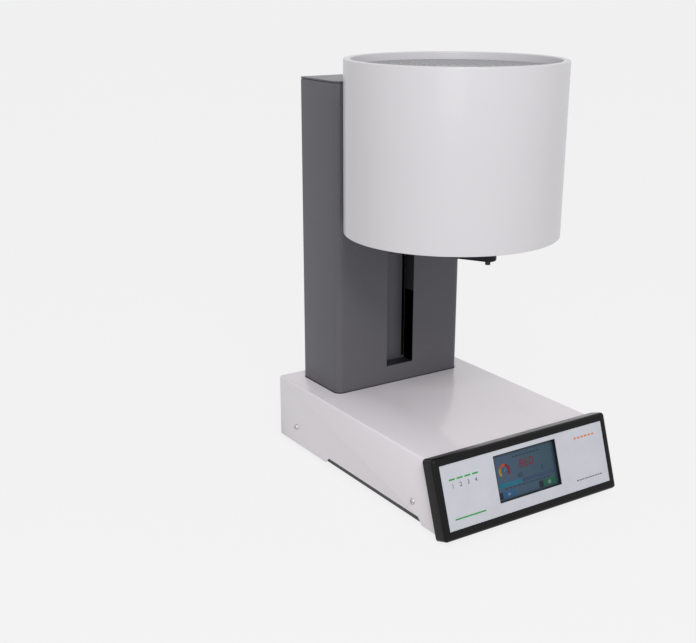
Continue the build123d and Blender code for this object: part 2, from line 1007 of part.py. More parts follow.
def firing_plinth():
    foot_top = flange_high + plinth_foot_height
    top = flange_high + plinth_height
    body = disc(plinth_foot_radius, flange_high, foot_top, 0, head_y)
    body += disc(plinth_radius, foot_top, top, 0, head_y)
    body = chamfer(body.edges().group_by(Axis.Z)[-1], plinth_dish / 2)
    return body - disc(plinth_dish_radius, top - plinth_dish, top + through, 0, head_y)


# Head

def head_drum():
    """Rolled sheet, open at the back where the bracket and the wires come in."""
    drum = ring(head_radius, head_radius - drum_sheet, head_low, head_high, 0, head_y)
    drum = fillet(drum.edges().filter_by(GeomType.CIRCLE).group_by(Axis.Z)[-1], rim_round)
    return drum - block(
        -drum_window, drum_window, head_y, head_y + head_radius + through,
        head_low + drum_window_bottom, head_low + drum_window_top,
    )


def head_rim():
    """Turned ring inside the drum's top: a flat rim, and a collar whose lip carries the grille."""
    rim_outer = head_radius - drum_sheet - seat_gap
    rim_inner = head_radius - rim_width
    lip_high = grille_top() - grille_sheet - seat_gap
    lip_low = lip_high - drum_sheet
    section = make_face(
        Polyline(
            (rim_outer, head_high - drum_sheet),
            (rim_outer, head_high),
            (rim_inner, head_high),
            (rim_inner, lip_high),
            (rim_inner - collar_lip, lip_high),
            (rim_inner - collar_lip, lip_low),
            (rim_inner + drum_sheet, lip_low),
            (rim_inner + drum_sheet, head_high - drum_sheet),
            close=True,
        )
    )
    rim = Pos(0, head_y, 0) * revolve(Plane.XZ * section, Axis.Z)
    return fillet(rim.edges().group_by(Axis.Z)[-1], rim_round)


def grille_top():
    return head_high - grille_recess


def top_grille():
    top = grille_top()
    radius = head_radius - rim_width - seat_gap
    plate = disc(radius, top - grille_sheet, top, 0, head_y)
    holes = Sketch()
    for i in range(grille_rings):
        count = grille_holes_per_ring * (i + 1)
        holes += PolarLocations(grille_ring_pitch * (i + 1), count) * Circle(grille_hole)
    cutter = Pos(0, head_y, top - grille_sheet - through) * extrude(holes, grille_sheet + 2 * through)
    return plate - cutter


def head_base_plate():
    low = head_low + base_plate_recess
    radius = head_radius - drum_sheet - seat_gap
    return ring(radius, throat_radius, low, chamber_floor, 0, head_y)


def can_high():
    return chamber_floor + can_height


def chamber_can():
    can = ring(can_radius, can_radius - can_sheet, chamber_floor, can_high(), 0, head_y)
    lid = disc(can_radius, can_high() - can_sheet, can_high(), 0, head_y)
    hole = disc(thermocouple_radius + run_gap, can_high() - through, can_high() + through, 0, head_y)
    return can + lid - hole


def chamber_ceiling():
    return chamber_floor + chamber_height


def insulation_ring():
    return ring(
        insulation_radius, muffle_outer + seat_gap, chamber_floor, chamber_ceiling(), 0, head_y
    )


def muffle_tube():
    return ring(muffle_outer, muffle_inner, chamber_floor, chamber_ceiling(), 0, head_y)


def chamber_lid():
    return ring(
        insulation_radius, thermocouple_radius + run_gap,
        chamber_ceiling() + seat_gap, can_high() - can_sheet - seat_gap, 0, head_y,
    )


def heater_coil():
    radius = muffle_inner - seat_gap - coil_width / 2
    path = Helix(coil_pitch, coil_pitch * coil_turns, radius)
    start = Plane(origin=path @ 0, x_dir=(1, 0, 0), z_dir=path % 0)
    wire = start * Rectangle(coil_width, coil_height)
    return Pos(0, head_y, chamber_floor + coil_start) * sweep(wire, path=path, is_frenet=True)


def thermocouple():
    sheath = disc(
        thermocouple_radius, chamber_ceiling() - thermocouple_drop, can_high() + seat_gap, 0, head_y
    )
    head = disc(
        thermocouple_head, can_high() + seat_gap, can_high() + 2 * thermocouple_head, 0, head_y
    )
    return sheath + fillet(head.edges().group_by(Axis.Z)[-1], thermocouple_radius)


def top_insulation():
    high = grille_top() - grille_sheet - blanket_gap
    return ring(
        head_radius - blanket_inset, blanket_hole, can_high() + seat_gap, high, 0, head_y
    )


def head_bracket():
    """Two cheeks bolted to the spine's sides that carry the head's base plate."""
    x0 = spine_width / 2 + seat_gap
    x1 = x0 + cheek_sheet
    low = chamber_floor + seat_gap
    high = low + cheek_height
    front = col_y + cheek_front
    rear = web_y + spine_sheet
    outline = [
        (front, low),
        (rear, low),
        (rear, high),
        (col_y + spine_front, high),
        (front, low + cheek_nose),
    ]
    cheek = side_sheet(outline, x0, x1)
    for i in (0, 1):
        y = (front + rear) / 2 + cheek_hole_start + i * cheek_hole_step
        z = low + cheek_hole_up + i * cheek_hole_rise
        cheek -= rod_x(cheek_hole, x0 - through, x1 + through, y, z)
    flange_x = x1 + cheek_flange
    wall = head_radius - drum_sheet - cheek_wall_gap
    flange_rear = head_y + sqrt(wall**2 - flange_x**2)
    cheek += block(x0, flange_x, front, flange_rear, low, low + cheek_sheet)
    return Compound(children=[cheek, mirror(cheek, about=Plane.YZ)])


# Rear panel and its fittings

def fan_guard():
    """Ring slots with four spokes left between them."""
    guard = None
    for i in range(guard_rings):
        inner = guard_start + guard_pitch * i
        slot = Circle(inner + guard_slot) - Circle(inner)
        guard = slot if guard is None else guard + slot
    spokes = Rectangle(fan_side, guard_spoke) + Rectangle(guard_spoke, fan_side)
    face = guard - Rot(0, 0, 45) * spokes
    cutter = extrude(face, 2 * through)
    return Pos(fan_x, rear_y + through, fan_z) * Rot(90, 0, 0) * cutter


def rear_panel():
    half = base_width / 2 - cover_sheet - seat_gap
    top = base_top - cover_sheet - seat_gap
    panel = rounded_trough(
        half, rear_inner_y, rear_y, pan_bottom, top, cover_bend - cover_sheet, True
    )
    y0 = rear_inner_y - through
    y1 = rear_y + through
    inlet_w = inlet_width - 2 * inlet_wall + 2 * seat_gap
    inlet_h = inlet_height - 4 * inlet_wall + 2 * seat_gap
    panel -= centred(inlet_x, inlet_w, y0, y1, inlet_z - inlet_h / 2, inlet_z + inlet_h / 2)
    switch_w = switch_width - 2 * switch_wall + 2 * seat_gap
    switch_h = switch_height - 2 * switch_wall + 2 * seat_gap
    panel -= centred(switch_x, switch_w, y0, y1, switch_z - switch_h / 2, switch_z + switch_h / 2)
    outlet_w = outlet_width - 2 * inlet_wall + 2 * seat_gap
    outlet_h = outlet_height - 4 * inlet_wall + 2 * seat_gap
    panel -= centred(outlet_x, outlet_w, y0, y1, outlet_z - outlet_h / 2, outlet_z + outlet_h / 2)
    panel -= rod_y(nipple_radius + seat_gap, y0, y1, nipple_x, nipple_z)
    return panel - fan_guard()


def fan_frame():
    y0 = rear_inner_y - seat_gap - fan_depth
    y1 = rear_inner_y - seat_gap
    half = fan_side / 2
    frame = block(fan_x - half, fan_x + half, y0, y1, fan_z - half, fan_z + half)
    frame = fillet(frame.edges().filter_by(Axis.Y), fan_corner)
    frame -= rod_y(fan_duct, y0 - through, y1 + through, fan_x, fan_z)
    boss = rod_y(fan_hub, y0, y0 + fan_boss_depth, fan_x, fan_z)
    spoke_reach = fan_duct + spoke_sink
    strut = centred(
        fan_x, guard_spoke, y0, y0 + fan_boss_depth, fan_z - spoke_reach, fan_z + spoke_reach
    )
    cross = centred(
        fan_x, 2 * spoke_reach, y0, y0 + fan_boss_depth,
        fan_z - guard_spoke / 2, fan_z + guard_spoke / 2,
    )
    frame += boss + strut + cross
    return frame - rod_y(fan_shaft + run_gap, y0 - through, y1 + through, fan_x, fan_z)


def fan_rotor():
    y0 = rear_inner_y - seat_gap - fan_depth
    hub_y0 = y0 + fan_boss_depth + move_gap / 2
    hub_y1 = rear_inner_y - seat_gap - move_gap
    hub = rod_y(fan_hub, hub_y0, hub_y1, fan_x, fan_z)
    reach = fan_duct - fan_blade_gap
    depth = hub_y1 - hub_y0
    limit = rod_y(reach, hub_y0, hub_y1, fan_x, fan_z)
    limit -= rod_y(fan_hub - move_gap, hub_y0 - through, hub_y1 + through, fan_x, fan_z)
    centre = Pos(fan_x, (hub_y0 + hub_y1) / 2, fan_z)
    blades = hub
    for i in range(fan_blades):
        turn = Rot(0, 360 / fan_blades * i, 0)
        blade = centre * turn * Pos(0, 0, reach / 2) * Rot(0, 0, fan_blade_pitch) * Box(
            fan_blade_sheet, 2 * depth, reach
        )
        blades += blade & limit
    shaft = rod_y(fan_shaft, y0 + move_gap, hub_y1, fan_x, fan_z)
    return blades + shaft


def module_flange(x, z, width, height, flange):
    """Outer flange of a snap-in module on the rear panel, and where its front is."""
    half_w = width / 2
    half_h = height / 2
    front = rear_y + seat_gap + flange
    plate = block(x - half_w, x + half_w, rear_y + seat_gap, front, z - half_h, z + half_h)
    plate = fillet(plate.edges().filter_by(Axis.Y), inlet_wall)
    plate = chamfer(plate.faces().sort_by(Axis.Y)[-1].edges(), flange / 4)
    return plate, front


def power_inlet():
    plate, front = module_flange(inlet_x, inlet_z, inlet_width, inlet_height, inlet_flange)
    half_w = inlet_width / 2 - inlet_wall
    half_h = inlet_height / 2 - 2 * inlet_wall
    body = plate + block(
        inlet_x - half_w, inlet_x + half_w, rear_y - inlet_depth, front - inlet_flange / 2,
        inlet_z - half_h, inlet_z + half_h,
    )
    socket_z = inlet_z - socket_below
    socket = centred(
        inlet_x, socket_width, front - socket_depth, front + through,
        socket_z - socket_height / 2, socket_z + socket_height / 2,
    )
    body -= fillet(socket.edges().filter_by(Axis.Y), inlet_wall)
    drawer_z = inlet_z + drawer_above
    return body - centred(
        inlet_x, drawer_width + 2 * drawer_gap, front - drawer_depth - drawer_gap, front + through,
        drawer_z - drawer_height / 2 - drawer_gap, drawer_z + drawer_height / 2 + drawer_gap,
    )


def inlet_front():
    return rear_y + seat_gap + inlet_flange


def inlet_pins():
    pins = []
    floor = inlet_front() - socket_depth
    socket_z = inlet_z - socket_below
    places = [(-pin_spacing, -pin_offset), (0, pin_offset), (pin_spacing, -pin_offset)]
    for dx, dz in places:
        x = inlet_x + dx
        z = socket_z + dz
        pins.append(
            centred(x, pin_width, floor, inlet_front() - pin_tip, z - pin_height / 2, z + pin_height / 2)
        )
    return Compound(children=pins)


def fuse_drawer():
    z = inlet_z + drawer_above
    front = inlet_front()
    body = centred(
        inlet_x, drawer_width, front - drawer_depth, front,
        z - drawer_height / 2, z + drawer_height / 2,
    )
    face = centred(
        inlet_x, drawer_width + 2 * drawer_face, front + drawer_gap, front + drawer_gap + drawer_face,
        z - drawer_height / 2 - drawer_face, z + drawer_height / 2 + drawer_face,
    )
    neck = centred(
        inlet_x, drawer_width, front - through, front + drawer_gap + drawer_face / 2,
        z - drawer_height / 2, z + drawer_height / 2,
    )
    grip = centred(
        inlet_x, drawer_width / 2, front + drawer_gap, front + drawer_gap + 2 * drawer_face,
        z - drawer_height / 2 - drawer_face, z - drawer_height / 2 + drawer_face,
    )
    return body + neck + face + grip


def rocker_axis_y():
    return rear_y + seat_gap + switch_flange - rocker_pivot_in


def switch_frame():
    plate, front = module_flange(switch_x, switch_z, switch_width, switch_height, switch_flange)
    half_w = switch_width / 2 - switch_wall
    half_h = switch_height / 2 - switch_wall
    body = plate + block(
        switch_x - half_w, switch_x + half_w, rear_y - switch_depth, front - switch_flange / 2,
        switch_z - half_h, switch_z + half_h,
    )
    opening = rocker_radius + drawer_gap
    body -= centred(
        switch_x, rocker_width + 2 * drawer_gap, rear_y - switch_depth + switch_wall, front + through,
        switch_z - opening, switch_z + opening,
    )
    pin_reach = rocker_width / 2 + 2 * switch_wall
    return body - rod_x(
        rocker_pin + run_gap, switch_x - pin_reach, switch_x + pin_reach, rocker_axis_y(), switch_z
    )


def rocker_switch():
    """Disc segment with two finger faces in a shallow V, lying in its off position."""
    y = rocker_axis_y()
    width = rocker_width
    segment = rod_x(rocker_radius, switch_x - width / 2, switch_x + width / 2, y, switch_z)
    lift = rocker_pivot_in + move_gap
    swing = rocker_swing / 2
    reach = 2 * rocker_radius
    for side in (-1, 1):
        half = block(-width, width, 0, reach, min(0, side * reach), max(0, side * reach))
        cutter = Pos(switch_x, y + lift, switch_z) * Rot(-side * swing, 0, 0) * half
        segment -= cutter
    segment -= block(
        switch_x - width, switch_x + width, y - 2 * rocker_radius, y - rocker_radius / 2,
        switch_z - reach, switch_z + reach,
    )
    pin_reach = width / 2 + switch_wall
    segment += rod_x(rocker_pin, switch_x - pin_reach, switch_x + pin_reach, y, switch_z)
    about = Axis((switch_x, y, switch_z), (1, 0, 0))
    return segment.rotate(about, -swing)


def pump_socket():
    plate, front = module_flange(outlet_x, outlet_z, outlet_width, outlet_height, inlet_flange)
    half_w = outlet_width / 2 - inlet_wall
    half_h = outlet_height / 2 - 2 * inlet_wall
    body = plate + block(
        outlet_x - half_w, outlet_x + half_w, rear_y - outlet_depth, front - inlet_flange / 2,
        outlet_z - half_h, outlet_z + half_h,
    )
    recess = centred(
        outlet_x, socket_width, front - socket_depth, front + through,
        outlet_z - socket_height / 2, outlet_z + socket_height / 2,
    )
    core_w = socket_width - 2 * outlet_core_gap
    core_h = socket_height - 2 * outlet_core_gap
    core = centred(
        outlet_x, core_w, front - socket_depth - through / 2, front - pin_tip,
        outlet_z - core_h / 2, outlet_z + core_h / 2,
    )
    for dx, dz in [(-pin_spacing, -pin_offset), (0, pin_offset), (pin_spacing, -pin_offset)]:
        z = outlet_z + dz
        core -= centred(
            outlet_x + dx, pin_width + seat_gap, front - socket_depth, front + through,
            z - pin_height / 2, z + pin_height / 2,
        )
    return body - recess + core


def hose_nipple():
    """Turned fitting: thread through the panel, hexagon outside it, barbed end."""
    hex_low = rear_y + seat_gap
    hex_high = hex_low + nipple_hex_height
    tip = base_rear + nipple_length
    body = rod_y(nipple_radius, rear_inner_y - through, hex_high, nipple_x, nipple_z)
    hexagon = extrude(RegularPolygon(nipple_hex, 6), nipple_hex_height)
    body += Pos(nipple_x, hex_high, nipple_z) * Rot(90, 0, 0) * hexagon
    stem = nipple_radius - barb_rise
    body += rod_y(stem, hex_high - move_gap, tip, nipple_x, nipple_z)
    for i in range(barb_count):
        y = tip - barb_pitch * (i + 0.5)
        barb = Cone(stem + barb_rise, stem, barb_pitch)
        body += Pos(nipple_x, y, nipple_z) * Rot(-90, 0, 0) * barb
    return body - rod_y(nipple_bore, rear_inner_y - 2 * through, tip + through, nipple_x, nipple_z)


def vacuum_valve():
    half = valve_width / 2
    y1 = rear_inner_y - seat_gap
    y0 = y1 - valve_width
    body = block(
        nipple_x - half, nipple_x + half, y0, y1,
        nipple_z - valve_height / 2, nipple_z + valve_height / 2,
    )
    body -= rod_y(nipple_radius + run_gap, y0 + half, y1 + through, nipple_x, nipple_z)
    coil_high = nipple_z - valve_height / 2
    coil = disc(
        valve_coil_radius, coil_high - valve_coil_height, coil_high + move_gap, nipple_x, (y0 + y1) / 2
    )
    return body + fillet(coil.edges().group_by(Axis.Z)[0], valve_coil_round)


# Electronics

def board_corners():
    x = control_width / 2 - 2 * standoff_radius
    y = control_depth / 2 - 2 * standoff_radius
    middle_y = col_y - control_ahead
    return [(control_x + i * x, middle_y + j * y) for i in (-1, 1) for j in (-1, 1)]


def control_board():
    """Circuit board on four standoffs."""
    posts = [
        disc(standoff_radius, pan_floor, pan_floor + standoff_height, x, y)
        for x, y in board_corners()
    ]
    low = pan_floor + standoff_height
    high = low + board_sheet
    y = col_y - control_ahead
    half_w = control_width / 2
    half_d = control_depth / 2
    board = block(control_x - half_w, control_x + half_w, y - half_d, y + half_d, low, high)
    for i in (-1, 0, 1):
        x = control_x + i * relay_spacing
        board += centred(x, relay_side, y, y + relay_side, low, high + relay_height)
    chip_y = y - chip_ahead
    board += centred(
        control_x, chip_width, chip_y - chip_depth / 2, chip_y + chip_depth / 2,
        low, high + chip_height,
    )
    strip_y = y + terminal_behind
    board += centred(
        control_x, terminal_length, strip_y - terminal_depth / 2, strip_y + terminal_depth / 2,
        low, high + terminal_height,
    )
    return Compound(children=[board, *posts])


def transformer():
    y = col_y - toroid_ahead
    core = ring(toroid_outer, toroid_inner, pan_floor, pan_floor + toroid_height, toroid_x, y)
    core = fillet(core.edges().filter_by(GeomType.CIRCLE), toroid_round)
    washer = disc(
        toroid_inner + toroid_round, pan_floor + toroid_height,
        pan_floor + toroid_height + toroid_washer, toroid_x, y,
    )
    bolt = disc(
        screw_head_radius, pan_floor, pan_floor + toroid_height + screw_head_radius, toroid_x, y
    )
    return Compound(children=[core, washer + bolt])


def triac_heatsink():
    y0 = col_y - heatsink_ahead - heatsink_depth / 2
    y1 = y0 + heatsink_depth
    sink = centred(heatsink_x, heatsink_width, y0, y1, pan_floor, pan_floor + heatsink_base)
    pitch = (heatsink_width - heatsink_fin) / (heatsink_fins - 1)
    for i in range(heatsink_fins):
        x = heatsink_x - heatsink_width / 2 + heatsink_fin / 2 + i * pitch
        sink += centred(x, heatsink_fin, y0, y1, pan_floor, pan_floor + heatsink_height)
    return sink


nodes = {
    "base_cover": base_cover,
    "bottom_pan": bottom_pan,
    "rubber_feet": rubber_feet,
    "side_screws": side_screws,
    "front_bezel": front_bezel,
    "label_plate": label_plate,
    "front_plate": front_plate,
    "display_gasket": display_gasket,
    "display_module": display_module,
    "display_board": display_board,
    "column_gasket": column_gasket,
    "column_shell": column_shell,
    "column_top_plate": column_top_plate,
    "column_rear_cover": column_rear_cover,
    "slot_channel": slot_channel,
    "spine": spine,
    "rod_blocks": rod_blocks,
    "guide_rods": guide_rods,
    "screw_bearings": screw_bearings,
    "lead_screw": lead_screw,
    "shaft_coupler": shaft_coupler,
    "motor_shaft": motor_shaft,
    "lift_motor": lift_motor,
    "motor_bracket": motor_bracket,
    "end_sensors": end_sensors,
    "carriage": carriage,
    "linear_bushings": linear_bushings,
    "lift_nut": lift_nut,
    "arm_bracket": arm_bracket,
    "lift_plate": lift_plate,
    "levelling_screws": levelling_screws,
    "table_flange": table_flange,
    "table_seal": table_seal,
    "firing_plinth": firing_plinth,
    "head_drum": head_drum,
    "head_rim": head_rim,
    "top_grille": top_grille,
    "head_base_plate": head_base_plate,
    "chamber_can": chamber_can,
    "insulation_ring": insulation_ring,
    "chamber_lid": chamber_lid,
    "muffle_tube": muffle_tube,
    "heater_coil": heater_coil,
    "thermocouple": thermocouple,
    "top_insulation": top_insulation,
    "head_bracket": head_bracket,
    "rear_panel": rear_panel,
    "fan_frame": fan_frame,
    "fan_rotor": fan_rotor,
    "power_inlet": power_inlet,
    "inlet_pins": inlet_pins,
    "fuse_drawer": fuse_drawer,
    "switch_frame": switch_frame,
    "rocker_switch": rocker_switch,
    "pump_socket": pump_socket,
    "hose_nipple": hose_nipple,
    "vacuum_valve": vacuum_valve,
    "control_board": control_board,
    "transformer": transformer,
    "triac_heatsink": triac_heatsink,
}

for name, make in nodes.items():
    export_step(make(), os.path.join("parts", name + ".step"))
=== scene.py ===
import json
from math import asin, cos, pi, radians, sin, sqrt

import bmesh
import bpy
from mathutils import Matrix, Vector


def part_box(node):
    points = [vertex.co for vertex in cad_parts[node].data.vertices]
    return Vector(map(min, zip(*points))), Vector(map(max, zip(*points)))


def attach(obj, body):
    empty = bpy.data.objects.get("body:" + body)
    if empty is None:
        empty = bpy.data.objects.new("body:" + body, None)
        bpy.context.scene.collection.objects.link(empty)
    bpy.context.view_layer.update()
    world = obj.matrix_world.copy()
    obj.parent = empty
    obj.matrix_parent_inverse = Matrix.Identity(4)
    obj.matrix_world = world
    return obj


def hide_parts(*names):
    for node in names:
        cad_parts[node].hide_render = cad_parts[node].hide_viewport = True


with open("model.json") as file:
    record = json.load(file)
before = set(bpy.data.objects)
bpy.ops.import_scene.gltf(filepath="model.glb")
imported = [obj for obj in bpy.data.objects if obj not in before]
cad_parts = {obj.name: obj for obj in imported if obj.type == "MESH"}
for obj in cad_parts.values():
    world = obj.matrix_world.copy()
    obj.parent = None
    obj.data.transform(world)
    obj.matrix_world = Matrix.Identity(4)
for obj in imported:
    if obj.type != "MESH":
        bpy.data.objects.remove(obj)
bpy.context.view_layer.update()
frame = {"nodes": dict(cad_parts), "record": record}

# Dental porcelain furnace: looks of every surface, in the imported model's frame and in metres.

nodes = frame["nodes"]
scene = bpy.context.scene

# Sizes taken from the frame
drum_low, drum_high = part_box("head_drum")
HEAD_R = (drum_high.x - drum_low.x) / 2
HEAD_Y = (drum_high.y + drum_low.y) / 2
HEAD_LOW = drum_low.z
HEAD_HIGH = drum_high.z
grille_low, grille_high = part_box("top_grille")
GRILLE_R = (grille_high.x - grille_low.x) / 2
shell_low, shell_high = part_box("column_shell")
cap_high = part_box("column_top_plate")[1]
cover_low, cover_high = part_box("base_cover")
label_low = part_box("label_plate")[0]

# Sheets and tolerances
SHEET = 0.0012
EDGE_BREAK = 0.0003
TINY = 1e-6
NEAR_WALL = 0.0005

# Head: drum, its window into the column, turned-in rim and perforated plate
DRUM_SHEET = 0.0015
DRUM_EASE = 0.0004
DRUM_EASE_INSIDE = 0.0003
RIM_WIDTH = 0.008
RIM_ROUND = 0.0011
COLLAR_LIP = 0.0045
COLLAR_GAP = 0.0002
WINDOW_HALF = 0.061
WINDOW_Z = (0.007, 0.098)
HOLE_R = 0.0027
HOLE_PITCH = 0.0098
HOLE_RINGS = range(3, 12)
HOLES_MORE_PER_RING = 6
CUT_PAST = 0.003

# Column: shell, notch round the drum, slot, top plate and its joint
COLUMN_ROUND = 0.010
COLUMN_REAR_ROUND = 0.002
ROUND_STEPS = 12
REAR_ROUND_STEPS = 4
NOTCH_GAP = 0.0015
NOTCH_R = HEAD_R + NOTCH_GAP
NOTCH_HALF = sqrt(NOTCH_R ** 2 - (shell_low.y - HEAD_Y) ** 2)
NOTCH_LOW = HEAD_LOW - NOTCH_GAP
NOTCH_STEPS = 32
SLOT_HALF = 0.021
SLOT_LOW = 0.114
REAR_BORDER = 0.012
REAR_TOP = cap_high.z - 0.026
CAP_SHEET = 0.002
CAP_EDGE = 0.0005
# Joint under the top plate: its rim is dark grey, painted shade for the shadow in the gap
JOINT_INSET = 0.0015
JOINT_SHEET = 0.001
JOINT_LOW = cap_high.z - 0.0055
JOINT_HIGH = cap_high.z - 0.0019
JOINT_NOTCH_CLEAR = 0.002
JOINT_FRONT = 0.004
# Painted shade in the slot: a thin dark sheet over its side walls and sill
SHADE_SHEET = 0.0003
SHADE_SHEET_BEHIND_FRONT = 0.0004
SHADE_SHEET_BELOW_TOP = 0.0005

# Base cover: bends, raised middle of the skirts and the opening under the column
COVER_BEND = 0.003
BEND_STEPS = 8
NOTCH_Z = 0.0139
FRONT_FOOT_BACK = -0.14585
REAR_FOOT_FRONT = 0.06535
STEP_RUN = 0.0085
WELL_HALF = 0.055
WELL_FRONT = shell_low.y + 0.0312
WELL_REAR = shell_low.y + 0.078

# Tilted panel: label, screen window and bezel
PANEL_TILT = radians(18.8)
LABEL_W = 0.2471
LABEL_H = 0.0748
LABEL_SHEET = 0.001
LABEL_ROUND = 0.0004
LABEL_EASE = 0.00015
WINDOW_W = 0.0952
WINDOW_H = 0.0554
WINDOW_DOWN = 0.0056
BEZEL_SIDE = 0.00845
BEZEL_ABOVE = 0.0096
BEZEL_BELOW = 0.0106
BEZEL_PROUD = 0.0008
BEZEL_BACK = -0.0187
BEZEL_BACK_EASE = 0.0005
BEZEL_ROUND = 0.004
BEZEL_CORNER = 0.0043
POCKET_GAP = 0.0004
POCKET_EASE = 0.0004
POCKET_FLOOR = -0.0032
POCKET_CORNER = 0.0003
LEDGE_SIDE = 0.008
LEDGE_LOW = 0.004
SCREEN_SIZE = (0.0932, 0.0534)
SCREEN_PLANE = -0.0046

# Marks: thickness, step between layers and the figures' own sizes
MARK = 0.00005
LAYER = 0.00006
FIGURE_SHARE = 0.7
FIGURE_HALF = 0.00002
FIGURE_LIFT = 0.00003

# Screen layout, from the screen's lower left corner
GAUGE_AT = (0.0155, 0.0335)
GAUGE_RADII = (0.0052, 0.0085)
GAUGE_BANDS = (("yellow", 150, 225), ("orange", 75, 148), ("red", -45, 73))
NEEDLE = ((-0.0008, -0.001), (0.001, 0.0), (0.003, 0.0046))
READINGS = (
    dict(name="reading_main", text="860", u=0.038, v=0.0315, height=0.0105, colour="red"),
    dict(name="reading_left", text="65", u=0.034, v=0.0212, height=0.0052, colour="dark"),
    dict(name="reading_right", text="3", u=0.070, v=0.0230, height=0.0052, colour="dark"),
)
UPPER_TICKS = dict(count=8, u=0.030, step=0.0052, v=0.0460, width=0.0036, height=0.0011)
LOWER_TICKS = dict(count=11, u=0.012, step=0.0065, v=0.0118, width=0.0046, height=0.0009)
PROGRESS_DONE = dict(u=0.0015, v=0.0145, width=0.038, height=0.0048)
PROGRESS_REST = dict(u=0.0396, v=0.0145, width=0.052, height=0.0048)
KEY_LEFT = dict(u=0.0085, v=0.0018, width=0.019, height=0.0078, radius=0.001)
KEY_RIGHT = dict(u=0.0705, v=0.0018, width=0.0185, height=0.0078, radius=0.001)
KEY_MARKS = (
    dict(u=0.0015, v=0.0018, width=0.0065, height=0.0078),
    dict(u=0.0635, v=0.0018, width=0.0065, height=0.0078),
)
ARROW = ((0.0155, 0.0036), (0.0205, 0.0057), (0.0155, 0.0078))
STOP = dict(u=0.0775, v=0.0037, width=0.004, height=0.004)

# Label layout: u from the left edge, or from the right edge where it is negative
RULES = dict(count=4, u=0.010, step=0.011, v=0.0185, width=0.0085, height=0.0019)
LONG_RULE = dict(count=1, u=0.010, step=0.0, v=-0.0265, width=0.044, height=0.0017)
TICKS = dict(count=6, u=-0.047, step=0.0058, v=0.024, width=0.0036, height=0.0022)
DOTS = dict(count=10, u=-0.052, step=0.0042, v=-0.026, width=0.003, height=0.0012)
FIGURES_AT = (0.0125, 0.0095)
FIGURES_STEP = 0.011
FIGURES_HIGH = 0.0052

# Small fittings: profiles hold (radius, height) pairs, and the rear screw's radii are shares of its own
SIDE_SCREW_Z = 0.0292
SIDE_SCREW_YS = (-0.12685, 0.13985)
SIDE_SCREW_HEAD = (
    (0.0017, 0.0011), (0.0019, 0.0021), (0.0028, 0.0020), (0.0036, 0.0014), (0.0040, 0.0005), (0.0040, 0),
)
SIDE_SCREW_SHANK = ((0.0020, 0), (0.0020, -0.006))
FOOT_R = 0.011
FOOT_BORE = 0.0034
FOOT_HOLE = 0.0030
FOOT_SOLE = ((0.0092, 0.0), (0.0099, 0.0006))
FOOT_SHOULDER = 0.0106
FOOT_SHOULDER_DROP = 0.0012
FOOT_TOP_DROP = 0.0006
REAR_SCREW_R = 0.0028
REAR_SCREW_HEAD = ((0.55, 0.0013), (0.85, 0.0010), (1, 0.0004), (1, 0))
REAR_SCREW_INSET = 0.006
CROSS_HALF_WIDTH = 0.00025
CROSS_Z = (0.00125, 0.0014)
SIGN_RING = (0.0011, 0.0016)
SIGN_BAR = (0.0006, 0.0034)
SIGN_OUT = 0.0065
SIGN_HIGH = 0.0052
ROCKER_ANGLE = 10
ROCKER_PIVOT = 0.004

# The panel's own axes: u across, v up the slope, w out of it
PANEL_UP = Vector((0, sin(PANEL_TILT), cos(PANEL_TILT)))
PANEL_OUT = Vector((0, -cos(PANEL_TILT), sin(PANEL_TILT)))
PANEL_AT = Vector((0, label_low.y, 0)) + Vector((0, LABEL_H * sin(PANEL_TILT) / 2, 0))
PANEL_AT.z = label_low.z + LABEL_H * cos(PANEL_TILT) / 2
PANEL_AT.z += LABEL_SHEET * sin(PANEL_TILT)
PANEL = Matrix((
    (1, 0, 0, PANEL_AT.x),
    (0, PANEL_UP.y, PANEL_OUT.y, PANEL_AT.y),
    (0, PANEL_UP.z, PANEL_OUT.z, PANEL_AT.z),
    (0, 0, 0, 1),
))
WINDOW_V = LABEL_H / 2 - WINDOW_DOWN - WINDOW_H / 2


# Materials

def shader(name, colour, roughness, metallic=0.0, specular=0.5, coat=0.0, coat_roughness=0.1):
    """New material whose plain numbers sit on the shader's own sockets."""
    material = bpy.data.materials.new(name)
    material.use_nodes = True
    bsdf = material.node_tree.nodes["Principled BSDF"]
    bsdf.inputs["Base Color"].default_value = (*colour, 1)
    bsdf.inputs["Roughness"].default_value = roughness
    bsdf.inputs["Metallic"].default_value = metallic
    bsdf.inputs["Specular IOR Level"].default_value = specular
    bsdf.inputs["Coat Weight"].default_value = coat
    bsdf.inputs["Coat Roughness"].default_value = coat_roughness
    return material


def noise(tree, scale, detail=3.0, stretch=(1, 1, 1)):
    """Noise in the mesh's own coordinates, in features per metre."""
    coords = tree.nodes.new("ShaderNodeTexCoord")
    mapping = tree.nodes.new("ShaderNodeMapping")
    mapping.inputs["Scale"].default_value = stretch
    texture = tree.nodes.new("ShaderNodeTexNoise")
    texture.inputs["Scale"].default_value = scale
    texture.inputs["Detail"].default_value = detail
    tree.links.new(coords.outputs["Object"], mapping.inputs["Vector"])
    tree.links.new(mapping.outputs["Vector"], texture.inputs["Vector"])
    return texture.outputs["Fac"]


def vary_colour(material, scale, amount, detail=3.0, stretch=(1, 1, 1)):
    """Colour that drifts a little lighter and darker across the surface."""
    tree = material.node_tree
    bsdf = tree.nodes["Principled BSDF"]
    colour = bsdf.inputs["Base Color"].default_value
    ramp = tree.nodes.new("ShaderNodeValToRGB")
    ramp.color_ramp.elements[0].position = 0.15
    ramp.color_ramp.elements[1].position = 0.85
    ramp.color_ramp.elements[0].color = [c * (1 - amount) for c in colour[:3]] + [1]
    ramp.color_ramp.elements[1].color = [min(c * (1 + amount), 1) for c in colour[:3]] + [1]
    tree.links.new(noise(tree, scale, detail, stretch), ramp.inputs["Fac"])
    tree.links.new(ramp.outputs["Color"], bsdf.inputs["Base Color"])


